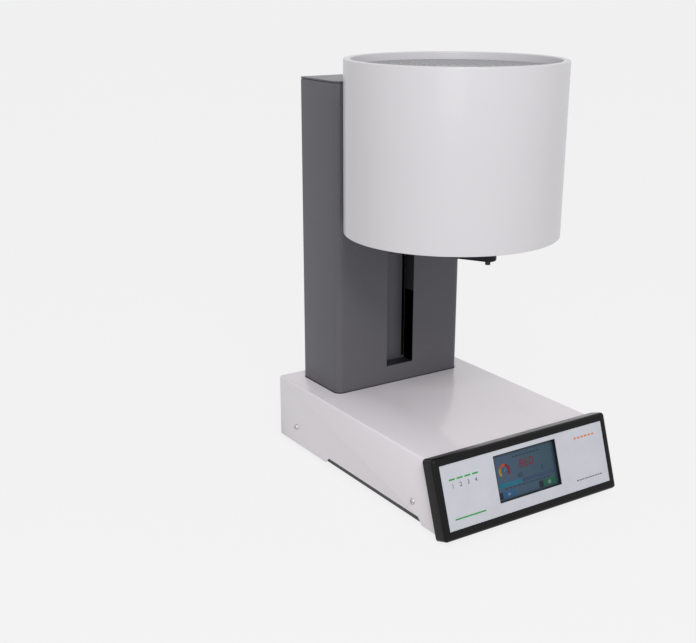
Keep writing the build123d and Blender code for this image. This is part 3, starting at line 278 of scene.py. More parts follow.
def vary_roughness(material, scale, low, high, stretch=(1, 1, 1)):
    """Roughness that changes with handling and wear."""
    tree = material.node_tree
    change = tree.nodes.new("ShaderNodeMapRange")
    change.inputs["From Min"].default_value = 0.1
    change.inputs["From Max"].default_value = 0.9
    change.inputs["To Min"].default_value = low
    change.inputs["To Max"].default_value = high
    tree.links.new(noise(tree, scale, 2.0, stretch), change.inputs["Value"])
    tree.links.new(change.outputs["Result"], tree.nodes["Principled BSDF"].inputs["Roughness"])


def add_bump(material, scale, distance, strength=0.5, detail=2.0, stretch=(1, 1, 1)):
    """Fine relief of the surface."""
    tree = material.node_tree
    bump = tree.nodes.new("ShaderNodeBump")
    bump.inputs["Strength"].default_value = strength
    bump.inputs["Distance"].default_value = distance
    tree.links.new(noise(tree, scale, detail, stretch), bump.inputs["Height"])
    tree.links.new(bump.outputs["Normal"], tree.nodes["Principled BSDF"].inputs["Normal"])


def powder_coat(name, colour, roughness, coat):
    """Sprayed and baked coating with faint orange peel."""
    material = shader(name, colour, roughness, coat=coat, coat_roughness=0.08)
    vary_colour(material, scale=6, amount=0.006, detail=1.0)
    vary_roughness(material, scale=8, low=roughness - 0.01, high=roughness + 0.015)
    add_bump(material, scale=620, distance=0.00003, strength=0.3)
    return material


def metallic_paint(name, colour, roughness):
    """Grey paint with fine metal flake."""
    material = shader(name, colour, roughness, metallic=0.15, specular=0.12)
    vary_colour(material, scale=2600, amount=0.16, detail=1.0)
    vary_roughness(material, scale=24, low=roughness - 0.05, high=roughness + 0.06)
    add_bump(material, scale=900, distance=0.00003, strength=0.3)
    return material


def moulded_plastic(name, colour, roughness, grain=0.00003, specular=0.45):
    """Plastic with a fine moulded grain."""
    material = shader(name, colour, roughness, specular=specular)
    vary_colour(material, scale=40, amount=0.06)
    vary_roughness(material, scale=60, low=roughness - 0.06, high=roughness + 0.07)
    add_bump(material, scale=1500, distance=grain, strength=0.4)
    return material


def machined_metal(name, colour, roughness, stretch=(1, 1, 14)):
    """Bare metal with marks drawn out along one way."""
    material = shader(name, colour, roughness, metallic=1.0)
    vary_colour(material, scale=120, amount=0.08, stretch=stretch)
    vary_roughness(material, scale=260, low=roughness - 0.07, high=roughness + 0.08, stretch=stretch)
    add_bump(material, scale=420, distance=0.00002, strength=0.35, stretch=stretch)
    return material


def soft_fibre(name, colour):
    """Pressed ceramic fibre with a felted surface."""
    material = shader(name, colour, roughness=0.95, specular=0.2)
    vary_colour(material, scale=160, amount=0.06)
    add_bump(material, scale=480, distance=0.0006, strength=0.7, detail=6.0)
    return material


def rubber_like(name, colour, roughness):
    """Rubber or silicone with a dull, fine skin."""
    material = shader(name, colour, roughness, specular=0.3)
    vary_colour(material, scale=90, amount=0.12)
    add_bump(material, scale=1100, distance=0.00006, strength=0.5)
    return material


materials = {
    "white_enamel": powder_coat("white_enamel", (0.86, 0.82, 0.86), 0.26, 0.35),
    # Darker copy of the white enamel for the head: painted shade, as the head is coated in the same white
    # as the base
    "head_white_painted_shade": powder_coat("head_white_painted_shade", (0.69, 0.675, 0.70), 0.32, 0.25),
    "black_plastic": moulded_plastic("black_plastic", (0.0035, 0.0032, 0.004), 0.22, specular=0.2),
    "label_film": moulded_plastic("label_film", (0.60, 0.61, 0.67), 0.42, 0.00001),
    "grey_metallic": metallic_paint("grey_metallic", (0.135, 0.132, 0.145), 0.30),
    "dark_grey": powder_coat("dark_grey", (0.022, 0.023, 0.026), 0.42, 0.0),
    "grille_grey": powder_coat("grille_grey", (0.33, 0.33, 0.35), 0.45, 0.0),
    "steel": machined_metal("steel", (0.55, 0.55, 0.56), 0.32),
    "aluminium": machined_metal("aluminium", (0.68, 0.68, 0.69), 0.38),
    "black_anodised": machined_metal("black_anodised", (0.022, 0.022, 0.025), 0.38),
    "blackened_steel": machined_metal("blackened_steel", (0.045, 0.043, 0.042), 0.4),
    "brass": machined_metal("brass", (0.70, 0.50, 0.22), 0.28),
    "rubber": rubber_like("rubber", (0.012, 0.012, 0.012), 0.7),
    "red_silicone": rubber_like("red_silicone", (0.36, 0.055, 0.035), 0.5),
    "ceramic_fibre": soft_fibre("ceramic_fibre", (0.80, 0.78, 0.73)),
    "quartz": soft_fibre("quartz", (0.78, 0.76, 0.70)),
    "heater_alloy": machined_metal("heater_alloy", (0.20, 0.17, 0.15), 0.55),
    "display": moulded_plastic("display", (0.012, 0.016, 0.022), 0.12, 0.000005),
    "board": moulded_plastic("board", (0.015, 0.12, 0.05), 0.4),
    "copper_winding": machined_metal("copper_winding", (0.45, 0.18, 0.07), 0.35, (1, 1, 4)),
}


def ink(name, colour, roughness=0.5):
    """Printed or lit colour on a flat surface."""
    material = shader(name, colour, roughness, specular=0.3)
    vary_colour(material, scale=60, amount=0.05)
    return material


def screen_field():
    """Slate blue that darkens from the left to the right of the screen."""
    material = shader("screen_field", (0.05, 0.09, 0.14), 0.25, specular=0.3)
    tree = material.node_tree
    coords = tree.nodes.new("ShaderNodeTexCoord")
    split = tree.nodes.new("ShaderNodeSeparateXYZ")
    across = tree.nodes.new("ShaderNodeMapRange")
    across.inputs["From Min"].default_value = -WINDOW_W / 2
    across.inputs["From Max"].default_value = WINDOW_W / 2
    ramp = tree.nodes.new("ShaderNodeValToRGB")
    ramp.color_ramp.elements[0].color = (0.052, 0.090, 0.150, 1)
    ramp.color_ramp.elements[1].color = (0.030, 0.068, 0.095, 1)
    bsdf = tree.nodes["Principled BSDF"]
    tree.links.new(coords.outputs["Object"], split.inputs["Vector"])
    tree.links.new(split.outputs["X"], across.inputs["Value"])
    tree.links.new(across.outputs["Result"], ramp.inputs["Fac"])
    tree.links.new(ramp.outputs["Color"], bsdf.inputs["Base Color"])
    return material


# Mesh helpers

def piece(name, bm, material, body="housing", replaces=(), edge_angle=35, bevel=0.0):
    """Finished object from a bmesh: welded, outward normals, smooth where edges are shallow."""
    bmesh.ops.remove_doubles(bm, verts=bm.verts, dist=TINY)
    bmesh.ops.recalc_face_normals(bm, faces=bm.faces)
    limit = radians(edge_angle)
    for face in bm.faces:
        face.smooth = True
    for edge in bm.edges:
        if len(edge.link_faces) == 2:
            edge.smooth = edge.calc_face_angle(0.0) < limit
    mesh = bpy.data.meshes.new(name)
    bm.to_mesh(mesh)
    bm.free()
    obj = bpy.data.objects.new(name, mesh)
    scene.collection.objects.link(obj)
    mesh.materials.append(material if not isinstance(material, str) else materials[material])
    if bevel:
        rounding = obj.modifiers.new("edges", "BEVEL")
        rounding.width = bevel
        rounding.segments = 3
        rounding.limit_method = "ANGLE"
        rounding.angle_limit = radians(40)
        rounding.harden_normals = True
    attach(obj, body)
    if replaces:
        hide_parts(*replaces)
    return obj


def loops_to_mesh(bm, loops, closed_rows=True, closed_loop=True):
    """Quads between rows of points that all have the same count."""
    rows = [[bm.verts.new(p) for p in loop] for loop in loops]
    count = len(rows[0])
    last = len(rows) if closed_rows else len(rows) - 1
    for i in range(last):
        a = rows[i]
        b = rows[(i + 1) % len(rows)]
        for j in range(count if closed_loop else count - 1):
            k = (j + 1) % count
            bm.faces.new((a[j], a[k], b[k], b[j]))
    return rows


def circle(radius, z, centre=(0, 0), segments=128):
    """Level ring of points."""
    turn = 2 * pi / segments
    return [
        Vector((centre[0] + radius * cos(i * turn), centre[1] + radius * sin(i * turn), z))
        for i in range(segments)
    ]


def lathe(profile, centre=(0, 0), segments=128):
    """Turned ring about an upright axis; the profile holds (radius, height) pairs."""
    bm = bmesh.new()
    loops_to_mesh(bm, [circle(r, z, centre, segments) for r, z in profile])
    return bm


def capped_lathe(profile, segments):
    """Turned form about the origin's upright axis, closed at both ends."""
    bm = bmesh.new()
    loops = [circle(r, z, (0, 0), segments) for r, z in profile]
    rows = loops_to_mesh(bm, loops, closed_rows=False)
    bm.faces.new(rows[0])
    bm.faces.new(rows[-1])
    return bm


def quarter(cx, cz, radius, start, steps=4):
    """Points of a quarter round, from an angle in degrees."""
    return [
        (cx + radius * cos(radians(start + 90 * i / steps)),
         cz + radius * sin(radians(start + 90 * i / steps)))
        for i in range(steps + 1)
    ]


def rounded_rectangle(width, height, radius, u=0.0, v=0.0, steps=8):
    """Outline points counter-clockwise, the same count for every radius."""
    points = []
    half_w = width / 2 - radius
    half_h = height / 2 - radius
    for corner, (sx, sy) in enumerate(((1, 1), (-1, 1), (-1, -1), (1, -1))):
        for i in range(steps + 1):
            angle = radians(90 * corner + 90 * i / steps)
            points.append((
                u + sx * half_w + radius * cos(angle),
                v + sy * half_h + radius * sin(angle),
            ))
    return points


def on_panel(points, w):
    """Points of the panel's own plane at a height w, carried into the frame."""
    return [PANEL @ Vector((u, v, w)) for u, v in points]


def prism(bm, outline, low, high, place=None):
    """Closed plate between two heights of its own axes; place carries it into the frame."""
    bottom = [bm.verts.new((x, y, low)) for x, y in outline]
    top = [bm.verts.new((x, y, high)) for x, y in outline]
    bm.faces.new(list(reversed(bottom)))
    bm.faces.new(top)
    count = len(outline)
    for i in range(count):
        k = (i + 1) % count
        bm.faces.new((bottom[i], bottom[k], top[k], top[i]))
    if place is not None:
        bmesh.ops.transform(bm, matrix=place, verts=bottom + top)


def as_sheet(obj):
    """Wall thickness inwards from the outline, and softly broken edges."""
    wall = obj.modifiers.new("sheet", "SOLIDIFY")
    wall.thickness = SHEET
    wall.offset = -1
    wall.use_even_offset = True
    edges = obj.modifiers.new("edges", "BEVEL")
    edges.width = EDGE_BREAK
    edges.segments = 2
    edges.limit_method = "ANGLE"
    edges.angle_limit = radians(50)
    return obj


# Head

def head_casing():
    """Drum and its turned-in rim as one coated casing, open at the back inside the column."""
    rim_inner = HEAD_R - RIM_WIDTH
    lip_high = grille_low.z - COLLAR_GAP
    lip_low = lip_high - DRUM_SHEET
    inner = HEAD_R - DRUM_SHEET
    window_low = HEAD_LOW + WINDOW_Z[0]
    window_high = HEAD_LOW + WINDOW_Z[1]
    profile = [(inner + DRUM_EASE_INSIDE, HEAD_LOW), (HEAD_R - DRUM_EASE, HEAD_LOW)]
    profile += [(HEAD_R, HEAD_LOW + DRUM_EASE), (HEAD_R, window_low), (HEAD_R, window_high)]
    profile += quarter(HEAD_R - RIM_ROUND, HEAD_HIGH - RIM_ROUND, RIM_ROUND, 0)
    profile += quarter(rim_inner + RIM_ROUND, HEAD_HIGH - RIM_ROUND, RIM_ROUND, 90)
    profile += [(rim_inner, lip_high), (rim_inner - COLLAR_LIP, lip_high)]
    profile += [(rim_inner - COLLAR_LIP, lip_low), (rim_inner + DRUM_SHEET, lip_low)]
    profile += [(rim_inner + DRUM_SHEET, HEAD_HIGH - DRUM_SHEET), (inner, HEAD_HIGH - DRUM_SHEET)]
    profile += [(inner, window_high), (inner, window_low), (inner, HEAD_LOW + DRUM_EASE_INSIDE)]
    bm = lathe(profile, (0, HEAD_Y), segments=256)
    opening = []
    for face in bm.faces:
        middle = face.calc_center_median()
        inside = window_low < middle.z < window_high and abs(middle.x) < WINDOW_HALF
        if inside and middle.y > HEAD_Y:
            opening.append(face)
    bmesh.ops.delete(bm, geom=opening, context="FACES")
    edges = [e for e in bm.edges if e.is_boundary]
    bmesh.ops.bridge_loops(bm, edges=edges)
    # Coated in the darker copy of the white enamel, which is painted shade
    return piece(
        "head_casing", bm, materials["head_white_painted_shade"],
        replaces=("head_drum", "head_rim"),
    )


def hole_places():
    """Cooling holes in even rings round a plain middle."""
    places = []
    for ring in HOLE_RINGS:
        radius = ring * HOLE_PITCH
        count = ring * HOLES_MORE_PER_RING
        for i in range(count):
            angle = 2 * pi * (i + 0.5 * (ring % 2)) / count
            places.append((radius * cos(angle), radius * sin(angle)))
    return places


def grille_plate():
    """Perforated plate: a disc whose round holes are cut right through."""
    bm = bmesh.new()
    disc = [(p.x, p.y) for p in circle(GRILLE_R, 0, segments=160)]
    prism(bm, disc, grille_low.z, grille_high.z)
    plate = piece("grille_plate", bm, "grille_grey", replaces=("top_grille",))
    holes = bmesh.new()
    for x, y in hole_places():
        outline = [(x + p.x, y + p.y) for p in circle(HOLE_R, 0, segments=14)]
        prism(holes, outline, grille_low.z - CUT_PAST, grille_high.z + CUT_PAST)
    cutter_mesh = bpy.data.meshes.new("hole_cutter")
    holes.to_mesh(cutter_mesh)
    holes.free()
    cutter = bpy.data.objects.new("hole_cutter", cutter_mesh)
    scene.collection.objects.link(cutter)
    cut = plate.modifiers.new("holes", "BOOLEAN")
    cut.object = cutter
    cut.solver = "EXACT"
    bpy.context.view_layer.update()
    drilled = plate.evaluated_get(bpy.context.evaluated_depsgraph_get())
    shape = bpy.data.meshes.new_from_object(drilled)
    plate.modifiers.clear()
    plate.data = shape
    bpy.data.objects.remove(cutter)
    for vertex in plate.data.vertices:
        vertex.co.y += HEAD_Y
    return plate


# Column

def column_plan(grow=0.0):
    """Plan outline as (x, y) points, counter-clockwise from the left front corner."""
    half = (shell_high.x - shell_low.x) / 2 + grow
    y0 = shell_low.y - grow
    y1 = shell_high.y + grow
    front = COLUMN_ROUND + grow
    rear = COLUMN_REAR_ROUND + grow
    window = half - REAR_BORDER
    points = quarter(-half + front, y0 + front, front, 180, ROUND_STEPS)
    points += [(x, y0) for x in (-NOTCH_HALF, -SLOT_HALF, SLOT_HALF, NOTCH_HALF)]
    points += quarter(half - front, y0 + front, front, 270, ROUND_STEPS)
    points += quarter(half - rear, y1 - rear, rear, 0, REAR_ROUND_STEPS)
    points += [(window, y1), (-window, y1)]
    points += quarter(-half + rear, y1 - rear, rear, 90, REAR_ROUND_STEPS)
    return points


def column_casing():
    """Folded shell with the notch round the drum, the slot and the open back."""
    rear_low = shell_low.z + REAR_BORDER
    levels = (shell_low.z, rear_low, SLOT_LOW, NOTCH_LOW, REAR_TOP, shell_high.z)
    plan = column_plan()
    bm = bmesh.new()
    loops = [[Vector((x, y, z)) for x, y in plan] for z in levels]
    loops_to_mesh(bm, loops, closed_rows=False)
    gone = []
    for face in bm.faces:
        middle = face.calc_center_median()
        across = abs(middle.x)
        front = middle.y < shell_low.y + NEAR_WALL
        rear = middle.y > shell_high.y - NEAR_WALL
        in_notch = front and across < NOTCH_HALF and middle.z > NOTCH_LOW
        in_slot = front and across < SLOT_HALF and middle.z > SLOT_LOW
        in_window = rear and across < shell_high.x - REAR_BORDER and rear_low < middle.z < REAR_TOP
        if in_notch or in_slot or in_window:
            gone.append(face)
    bmesh.ops.delete(bm, geom=gone, context="FACES")
    return as_sheet(piece("column_casing", bm, "grey_metallic", replaces=("column_shell",)))


def column_cap():
    """Top plate, cut round the drum, over a dark shadow joint."""
    start = asin(NOTCH_HALF / NOTCH_R)
    arc = []
    for i in range(NOTCH_STEPS + 1):
        angle = -start + 2 * start * i / NOTCH_STEPS
        arc.append((NOTCH_R * sin(angle), HEAD_Y + NOTCH_R * cos(angle)))
    plan = [
        (x, y) for x, y in column_plan()
        if abs(x) > NOTCH_HALF + TINY or y >= shell_low.y + TINY
    ]
    left = plan[:ROUND_STEPS + 1]
    rest = plan[ROUND_STEPS + 1:]
    bm = bmesh.new()
    prism(bm, left + arc + rest, cap_high.z - CAP_SHEET, cap_high.z)
    return piece("column_cap", bm, "grey_metallic", replaces=("column_top_plate",), bevel=CAP_EDGE)


def cap_joint():
    """Inner rim of the top plate in dark grey, seen as the dark line under it: painted shade for the
    shadow in the joint.
    """
    bm = bmesh.new()
    outline = [
        (x, y) for x, y in column_plan(-JOINT_INSET)
        if abs(x) > NOTCH_HALF + JOINT_NOTCH_CLEAR or y >= shell_low.y + JOINT_FRONT
    ]
    low = [bm.verts.new((x, y, JOINT_LOW)) for x, y in outline]
    high = [bm.verts.new((x, y, JOINT_HIGH)) for x, y in outline]
    for i in range(len(outline)):
        k = (i + 1) % len(outline)
        over_notch = outline[i][0] < 0 < outline[k][0]
        if not over_notch:
            bm.faces.new((low[i], low[k], high[k], high[i]))
    obj = piece("cap_joint", bm, "dark_grey")
    wall = obj.modifiers.new("sheet", "SOLIDIFY")
    wall.thickness = JOINT_SHEET
    wall.offset = -1
    return obj


def slot_shade_sheet():
    """Dark grey sheet on the slot's side walls and sill: painted shade for the shadow inside the slot."""
    channel_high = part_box("slot_channel")[1]
    front = shell_low.y + SHADE_SHEET_BEHIND_FRONT
    back = channel_high.y - SHEET
    inner = SLOT_HALF - SHADE_SHEET
    bm = bmesh.new()
    for side in (-1, 1):
        x0, x1 = sorted((side * SLOT_HALF, side * inner))
        wall = [(x0, front), (x1, front), (x1, back), (x0, back)]
        prism(bm, wall, SLOT_LOW, channel_high.z - SHADE_SHEET_BELOW_TOP)
    sill = [(-inner, front), (inner, front), (inner, back), (-inner, back)]
    prism(bm, sill, SLOT_LOW, SLOT_LOW + SHADE_SHEET)
    return piece("slot_shade_sheet", bm, "dark_grey")


# Base

def bezel_back_y(z):
    """Where the bezel's back plane is at a height."""
    slope = PANEL_AT.y + (z - PANEL_AT.z) * sin(PANEL_TILT) / cos(PANEL_TILT)
    return slope - BEZEL_BACK / cos(PANEL_TILT)


def base_casing():
    """Folded cover: side skirts with a raised middle, rounded long edges and a flat top."""
    half = (cover_high.x - cover_low.x) / 2
    top = cover_high.z
    low = cover_low.z
    rear = cover_high.y
    bend_z = top - COVER_BEND
    bm = bmesh.new()
    skirt = [
        (bezel_back_y(bend_z), bend_z),
        (bezel_back_y(low), low),
        (FRONT_FOOT_BACK, low),
        (FRONT_FOOT_BACK + STEP_RUN, NOTCH_Z),
        (REAR_FOOT_FRONT - STEP_RUN, NOTCH_Z),
        (REAR_FOOT_FRONT, low),
        (rear, low),
        (rear, bend_z),
    ]
    for side in (-1, 1):
        verts = [bm.verts.new((side * half, y, z)) for y, z in skirt]
        bm.faces.new(verts)
    arc = quarter(half - COVER_BEND, bend_z, COVER_BEND, 0, BEND_STEPS)
    for side in (-1, 1):
        front = [Vector((side * x, bezel_back_y(z), z)) for x, z in arc]
        back = [Vector((side * x, rear, z)) for x, z in arc]
        loops_to_mesh(bm, [front, back], closed_rows=False, closed_loop=False)
    flat = half - COVER_BEND
    xs = (-flat, -WELL_HALF, WELL_HALF, flat)
    ys = (bezel_back_y(top), WELL_FRONT, WELL_REAR, rear)
    for i in range(3):
        for j in range(3):
            if i == 1 and j == 1:
                continue
            corners = ((xs[i], ys[j]), (xs[i + 1], ys[j]), (xs[i + 1], ys[j + 1]), (xs[i], ys[j + 1]))
            bm.faces.new([bm.verts.new((x, y, top)) for x, y in corners])
    return as_sheet(piece("base_casing", bm, "white_enamel", replaces=("base_cover",)))


def bezel_frame():
    """Moulded frame with a broad round on its outer front edge and a pocket for the label."""
    width = LABEL_W + 2 * BEZEL_SIDE
    height = LABEL_H + BEZEL_ABOVE + BEZEL_BELOW
    v = (BEZEL_ABOVE - BEZEL_BELOW) / 2

    def outer(inset, w):
        radius = max(BEZEL_CORNER - inset, POCKET_CORNER)
        return on_panel(rounded_rectangle(width - 2 * inset, height - 2 * inset, radius, 0, v), w)

    def pocket(grow, w):
        size_w = LABEL_W + POCKET_GAP + 2 * grow
        size_h = LABEL_H + POCKET_GAP + 2 * grow
        return on_panel(rounded_rectangle(size_w, size_h, POCKET_CORNER + grow), w)

    def opening(w):
        size_w = LABEL_W - 2 * LEDGE_SIDE
        size_h = LABEL_H + POCKET_GAP - LEDGE_LOW
        return on_panel(rounded_rectangle(size_w, size_h, POCKET_CORNER, 0, LEDGE_LOW / 2), w)

    loops = [outer(BEZEL_BACK_EASE, BEZEL_BACK), outer(0, BEZEL_BACK + BEZEL_BACK_EASE)]
    for i in range(BEND_STEPS + 1):
        angle = radians(90 * i / BEND_STEPS)
        inset = BEZEL_ROUND * (1 - cos(angle))
        loops.append(outer(inset, BEZEL_PROUD - BEZEL_ROUND * (1 - sin(angle))))
    loops += [pocket(POCKET_EASE, BEZEL_PROUD), pocket(0, BEZEL_PROUD - POCKET_EASE)]
    loops += [pocket(0, POCKET_FLOOR), opening(POCKET_FLOOR), opening(BEZEL_BACK)]
    bm = bmesh.new()
    loops_to_mesh(bm, loops)
    return piece("bezel_frame", bm, "black_plastic", replaces=("front_bezel",), edge_angle=30)


def label_panel():
    """Printed front sheet with the screen's window."""
    bm = bmesh.new()
    ease = LABEL_EASE
    loops = []
    for grow, w in ((0, -LABEL_SHEET), (0, -ease), (-ease, 0)):
        size = (LABEL_W + 2 * grow, LABEL_H + 2 * grow)
        loops.append(on_panel(rounded_rectangle(*size, LABEL_ROUND, 0, 0, 4), w))
    for grow, w in ((ease, 0), (0, -ease), (0, -LABEL_SHEET)):
        size = (WINDOW_W + 2 * grow, WINDOW_H + 2 * grow)
        loops.append(on_panel(rounded_rectangle(*size, LABEL_ROUND, 0, WINDOW_V, 4), w))
    loops_to_mesh(bm, loops)
    return piece("label_panel", bm, "label_film", replaces=("label_plate",))


def flat_mark(name, outlines, material, w):
    """Thin printed or lit marks on the panel, one mesh for one colour."""
    bm = bmesh.new()
    for outline in outlines:
        prism(bm, outline, w, w + MARK, PANEL)
    return piece(name, bm, material)


def bar(u, v, width, height, radius=0.0):
    """Rectangle given by its lower left corner."""
    if radius:
        return rounded_rectangle(width, height, radius, u + width / 2, v + height / 2, 4)
    return [(u, v), (u + width, v), (u + width, v + height), (u, v + height)]


def row(start, count, u, step, v, width, height):
    """Evenly spaced bars, the first one u from the start."""
    return [bar(start + u + step * i, v, width, height) for i in range(count)]


def number(name, text, u, v, height, material, w, slot):
    """Plain figures set on the panel, as a mesh."""
    curve = bpy.data.curves.new(name, "FONT")
    curve.body = text
    curve.size = height / FIGURE_SHARE
    curve.extrude = FIGURE_HALF
    maker = bpy.data.objects.new(name + "_maker", curve)
    scene.collection.objects.link(maker)
    bpy.context.view_layer.update()
    shape = bpy.data.meshes.new_from_object(maker)
    bpy.data.objects.remove(maker)
    shape.name = name
    shape.transform(PANEL @ Matrix.Translation((u, v, w + FIGURE_LIFT)))
    shape.materials.clear()
    shape.materials.append(material)
    obj = bpy.data.objects.new(name, shape)
    scene.collection.objects.link(obj)
    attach(obj, "housing")
    return obj


def arc_band(u, v, inner, outer, start, end, steps=24):
    """Curved band between two radii, angles in degrees."""
    points = []
    for radius, order in ((outer, range(steps + 1)), (inner, range(steps, -1, -1))):
        for i in order:
            angle = radians(start + (end - start) * i / steps)
            points.append((u + radius * cos(angle), v + radius * sin(angle)))
    return points


def screen():
    """Lit picture behind the window: a round gauge, plain figures, a progress bar and two keys."""
    left = -SCREEN_SIZE[0] / 2
    low = WINDOW_V - SCREEN_SIZE[1] / 2
    w = SCREEN_PLANE + MARK
    top = w + LAYER
    flat_mark("screen_field", [bar(left, low, *SCREEN_SIZE)], screen_field(), w)
    inks = {
        "yellow": ink("screen_yellow", (0.30, 0.20, 0.02)),
        "orange": ink("screen_orange", (0.33, 0.07, 0.02)),
        "red": ink("screen_red", (0.16, 0.01, 0.02)),
        "cyan": ink("screen_cyan", (0.01, 0.13, 0.19)),
        "slate": ink("screen_slate", (0.035, 0.055, 0.11)),
        "blue": ink("screen_blue", (0.02, 0.09, 0.19)),
        "green": ink("screen_green", (0.01, 0.09, 0.045)),
        "dark": ink("screen_dark", (0.008, 0.012, 0.02)),
        "pale": ink("screen_pale", (0.16, 0.22, 0.29)),
    }

    def mark(name, outlines, colour, at=top):
        flat_mark(name, outlines, inks[colour], at)

    def block(u, v, width, height, radius=0.0):
        return bar(left + u, low + v, width, height, radius)

    def ticks(count, u, step, v, width, height):
        return row(left, count, u, step, low + v, width, height)

    gauge_u = left + GAUGE_AT[0]
    gauge_v = low + GAUGE_AT[1]
    for colour, start, end in GAUGE_BANDS:
        mark("gauge_" + colour, [arc_band(gauge_u, gauge_v, *GAUGE_RADII, start, end)], colour)
    mark("gauge_needle", [[(gauge_u + u, gauge_v + v) for u, v in NEEDLE]], "pale")
    for one in READINGS:
        place = (left + one["u"], low + one["v"])
        number(one["name"], one["text"], *place, one["height"], inks[one["colour"]], top, "display")
    mark("screen_ticks", ticks(**UPPER_TICKS) + ticks(**LOWER_TICKS), "dark")
    mark("progress_done", [block(**PROGRESS_DONE)], "cyan")
    mark("progress_rest", [block(**PROGRESS_REST)], "slate")
    mark("key_left", [block(**KEY_LEFT)], "blue")
    mark("key_right", [block(**KEY_RIGHT)], "green")
    mark("key_marks", [block(**key_mark) for key_mark in KEY_MARKS], "dark")
    arrow = [(left + u, low + v) for u, v in ARROW]
    mark("key_signs", [arrow, block(**STOP)], "pale", top + LAYER)


def label_marks():
    """Generic marks on the bare label: short rules and plain figures."""
    green = ink("label_green", (0.035, 0.32, 0.06))
    orange = ink("label_orange", (0.75, 0.20, 0.06))
    dark = ink("label_dark", (0.05, 0.05, 0.06))
    face = 0.0
    left = -LABEL_W / 2
    right = LABEL_W / 2
    flat_mark("label_rules_green", row(left, **RULES) + row(left, **LONG_RULE), green, face)
    flat_mark("label_ticks_orange", row(right, **TICKS), orange, face)
    for i in range(RULES["count"]):
        u = left + FIGURES_AT[0] + FIGURES_STEP * i
        name = f"label_figure_{i + 1}"
        number(name, str(i + 1), u, FIGURES_AT[1], FIGURES_HIGH, dark, face, "label_film")
    flat_mark("label_dots_dark", row(right, **DOTS), dark, face)


# Small fittings

def side_screw(name, side, y):
    """Domed head with a round recess, over the skirt, and its shank."""
    half = (cover_high.x - cover_low.x) / 2
    bm = capped_lathe(SIDE_SCREW_HEAD + SIDE_SCREW_SHANK, 36)
    turn = Matrix.Rotation(side * pi / 2, 4, "Y")
    bm.transform(Matrix.Translation((side * half, y, SIDE_SCREW_Z)) @ turn)
    return piece(name, bm, "steel")


def side_screws():
    """Two screws in each skirt, in the place of the CAD node."""
    for side, side_name in ((-1, "left"), (1, "right")):
        for y, place in zip(SIDE_SCREW_YS, ("front", "rear")):
            side_screw(f"side_screw_{side_name}_{place}", side, y)
    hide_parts("side_screws")


def rubber_foot(name, x, y):
    """Tapered foot with a stepped screw hole."""
    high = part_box("rubber_feet")[1].z
    profile = [(FOOT_BORE, 0.0), *FOOT_SOLE, (FOOT_SHOULDER, high - FOOT_SHOULDER_DROP)]
    profile += [(FOOT_R, high - FOOT_TOP_DROP), (FOOT_R, high), (FOOT_HOLE, high)]
    profile += [(FOOT_HOLE, high / 2), (FOOT_BORE, high / 2)]
    return piece(name, lathe(profile, (x, y), 48), "rubber")


def rubber_feet():
    """Four feet at the corners of the CAD node."""
    low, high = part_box("rubber_feet")
    for x, side in ((low.x + FOOT_R, "left"), (high.x - FOOT_R, "right")):
        for y, place in ((low.y + FOOT_R, "front"), (high.y - FOOT_R, "rear")):
            rubber_foot(f"foot_{side}_{place}", x, y)
    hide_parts("rubber_feet")


def rear_screw(name, x, y, z):
    """Small screw on a rear face, with a cross on its head."""
    bm = capped_lathe([(REAR_SCREW_R * share, h) for share, h in REAR_SCREW_HEAD], 28)
    arm = REAR_SCREW_R * 0.5
    stroke = bar(-arm, -CROSS_HALF_WIDTH, 2 * arm, 2 * CROSS_HALF_WIDTH)
    for angle in (0, pi / 2):
        prism(bm, stroke, *CROSS_Z, Matrix.Rotation(angle, 4, "Z"))
    bm.transform(Matrix.Translation((x, y, z)) @ Matrix.Rotation(-pi / 2, 4, "X"))
    return piece(name, bm, "steel")


def rear_screws():
    """Screws along the edges of the column's rear cover and at the rear panel's corners."""
    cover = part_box("column_rear_cover")
    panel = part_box("rear_panel")
    for (low, high), prefix, levels in (
        (cover, "cover_screw", ("low", "mid", "high")),
        (panel, "panel_screw", ("low", "high")),
    ):
        heights = {
            "low": low.z + REAR_SCREW_INSET,
            "mid": (low.z + high.z) / 2,
            "high": high.z - REAR_SCREW_INSET,
        }
        for side, x in (("left", low.x + REAR_SCREW_INSET), ("right", high.x - REAR_SCREW_INSET)):
            for level in levels:
                rear_screw(f"{prefix}_{side}_{level}", x, high.y, heights[level])


def switch_signs():
    """On and off signs printed on the rocker's two finger faces."""
    low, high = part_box("rocker_switch")
    white = ink("sign_white", (0.7, 0.7, 0.7))
    x = (low.x + high.x) / 2
    z = (low.z + high.z) / 2
    pivot_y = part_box("switch_frame")[1].y - ROCKER_PIVOT
    place = Matrix.Translation((x, pivot_y, z)) @ Matrix.Rotation(radians(-90), 4, "X")
    ring = arc_band(0, 0, *SIGN_RING, 0, 359.9, 32)
    stroke = bar(-SIGN_BAR[0] / 2, -SIGN_BAR[1] / 2, *SIGN_BAR)
    for name, outline, side in (("sign_on", stroke, 1), ("sign_off", ring, -1)):
        bm = bmesh.new()
        prism(bm, outline, 0, MARK)
        tilt = radians(side * ROCKER_ANGLE) + radians(-ROCKER_ANGLE)
        bm.transform(Matrix.Translation((0, side * SIGN_OUT, SIGN_HIGH)))
        bm.transform(Matrix.Rotation(-tilt, 4, "X"))
        bm.transform(place)
        piece(name, bm, white, body="rocker")


def dress_cad_nodes():
    """Finish for the nodes that keep their own shape."""
    slots = {part["node"]: part["material_slot"] for part in frame["record"]["subparts"]}
    for name, obj in nodes.items():
        material = materials["blackened_steel" if name == "levelling_screws" else slots[name]]
        if not obj.data.materials:
            obj.data.materials.append(material)
        for place in obj.material_slots:
            place.link = "OBJECT"
            place.material = material


# Stage, lights and camera

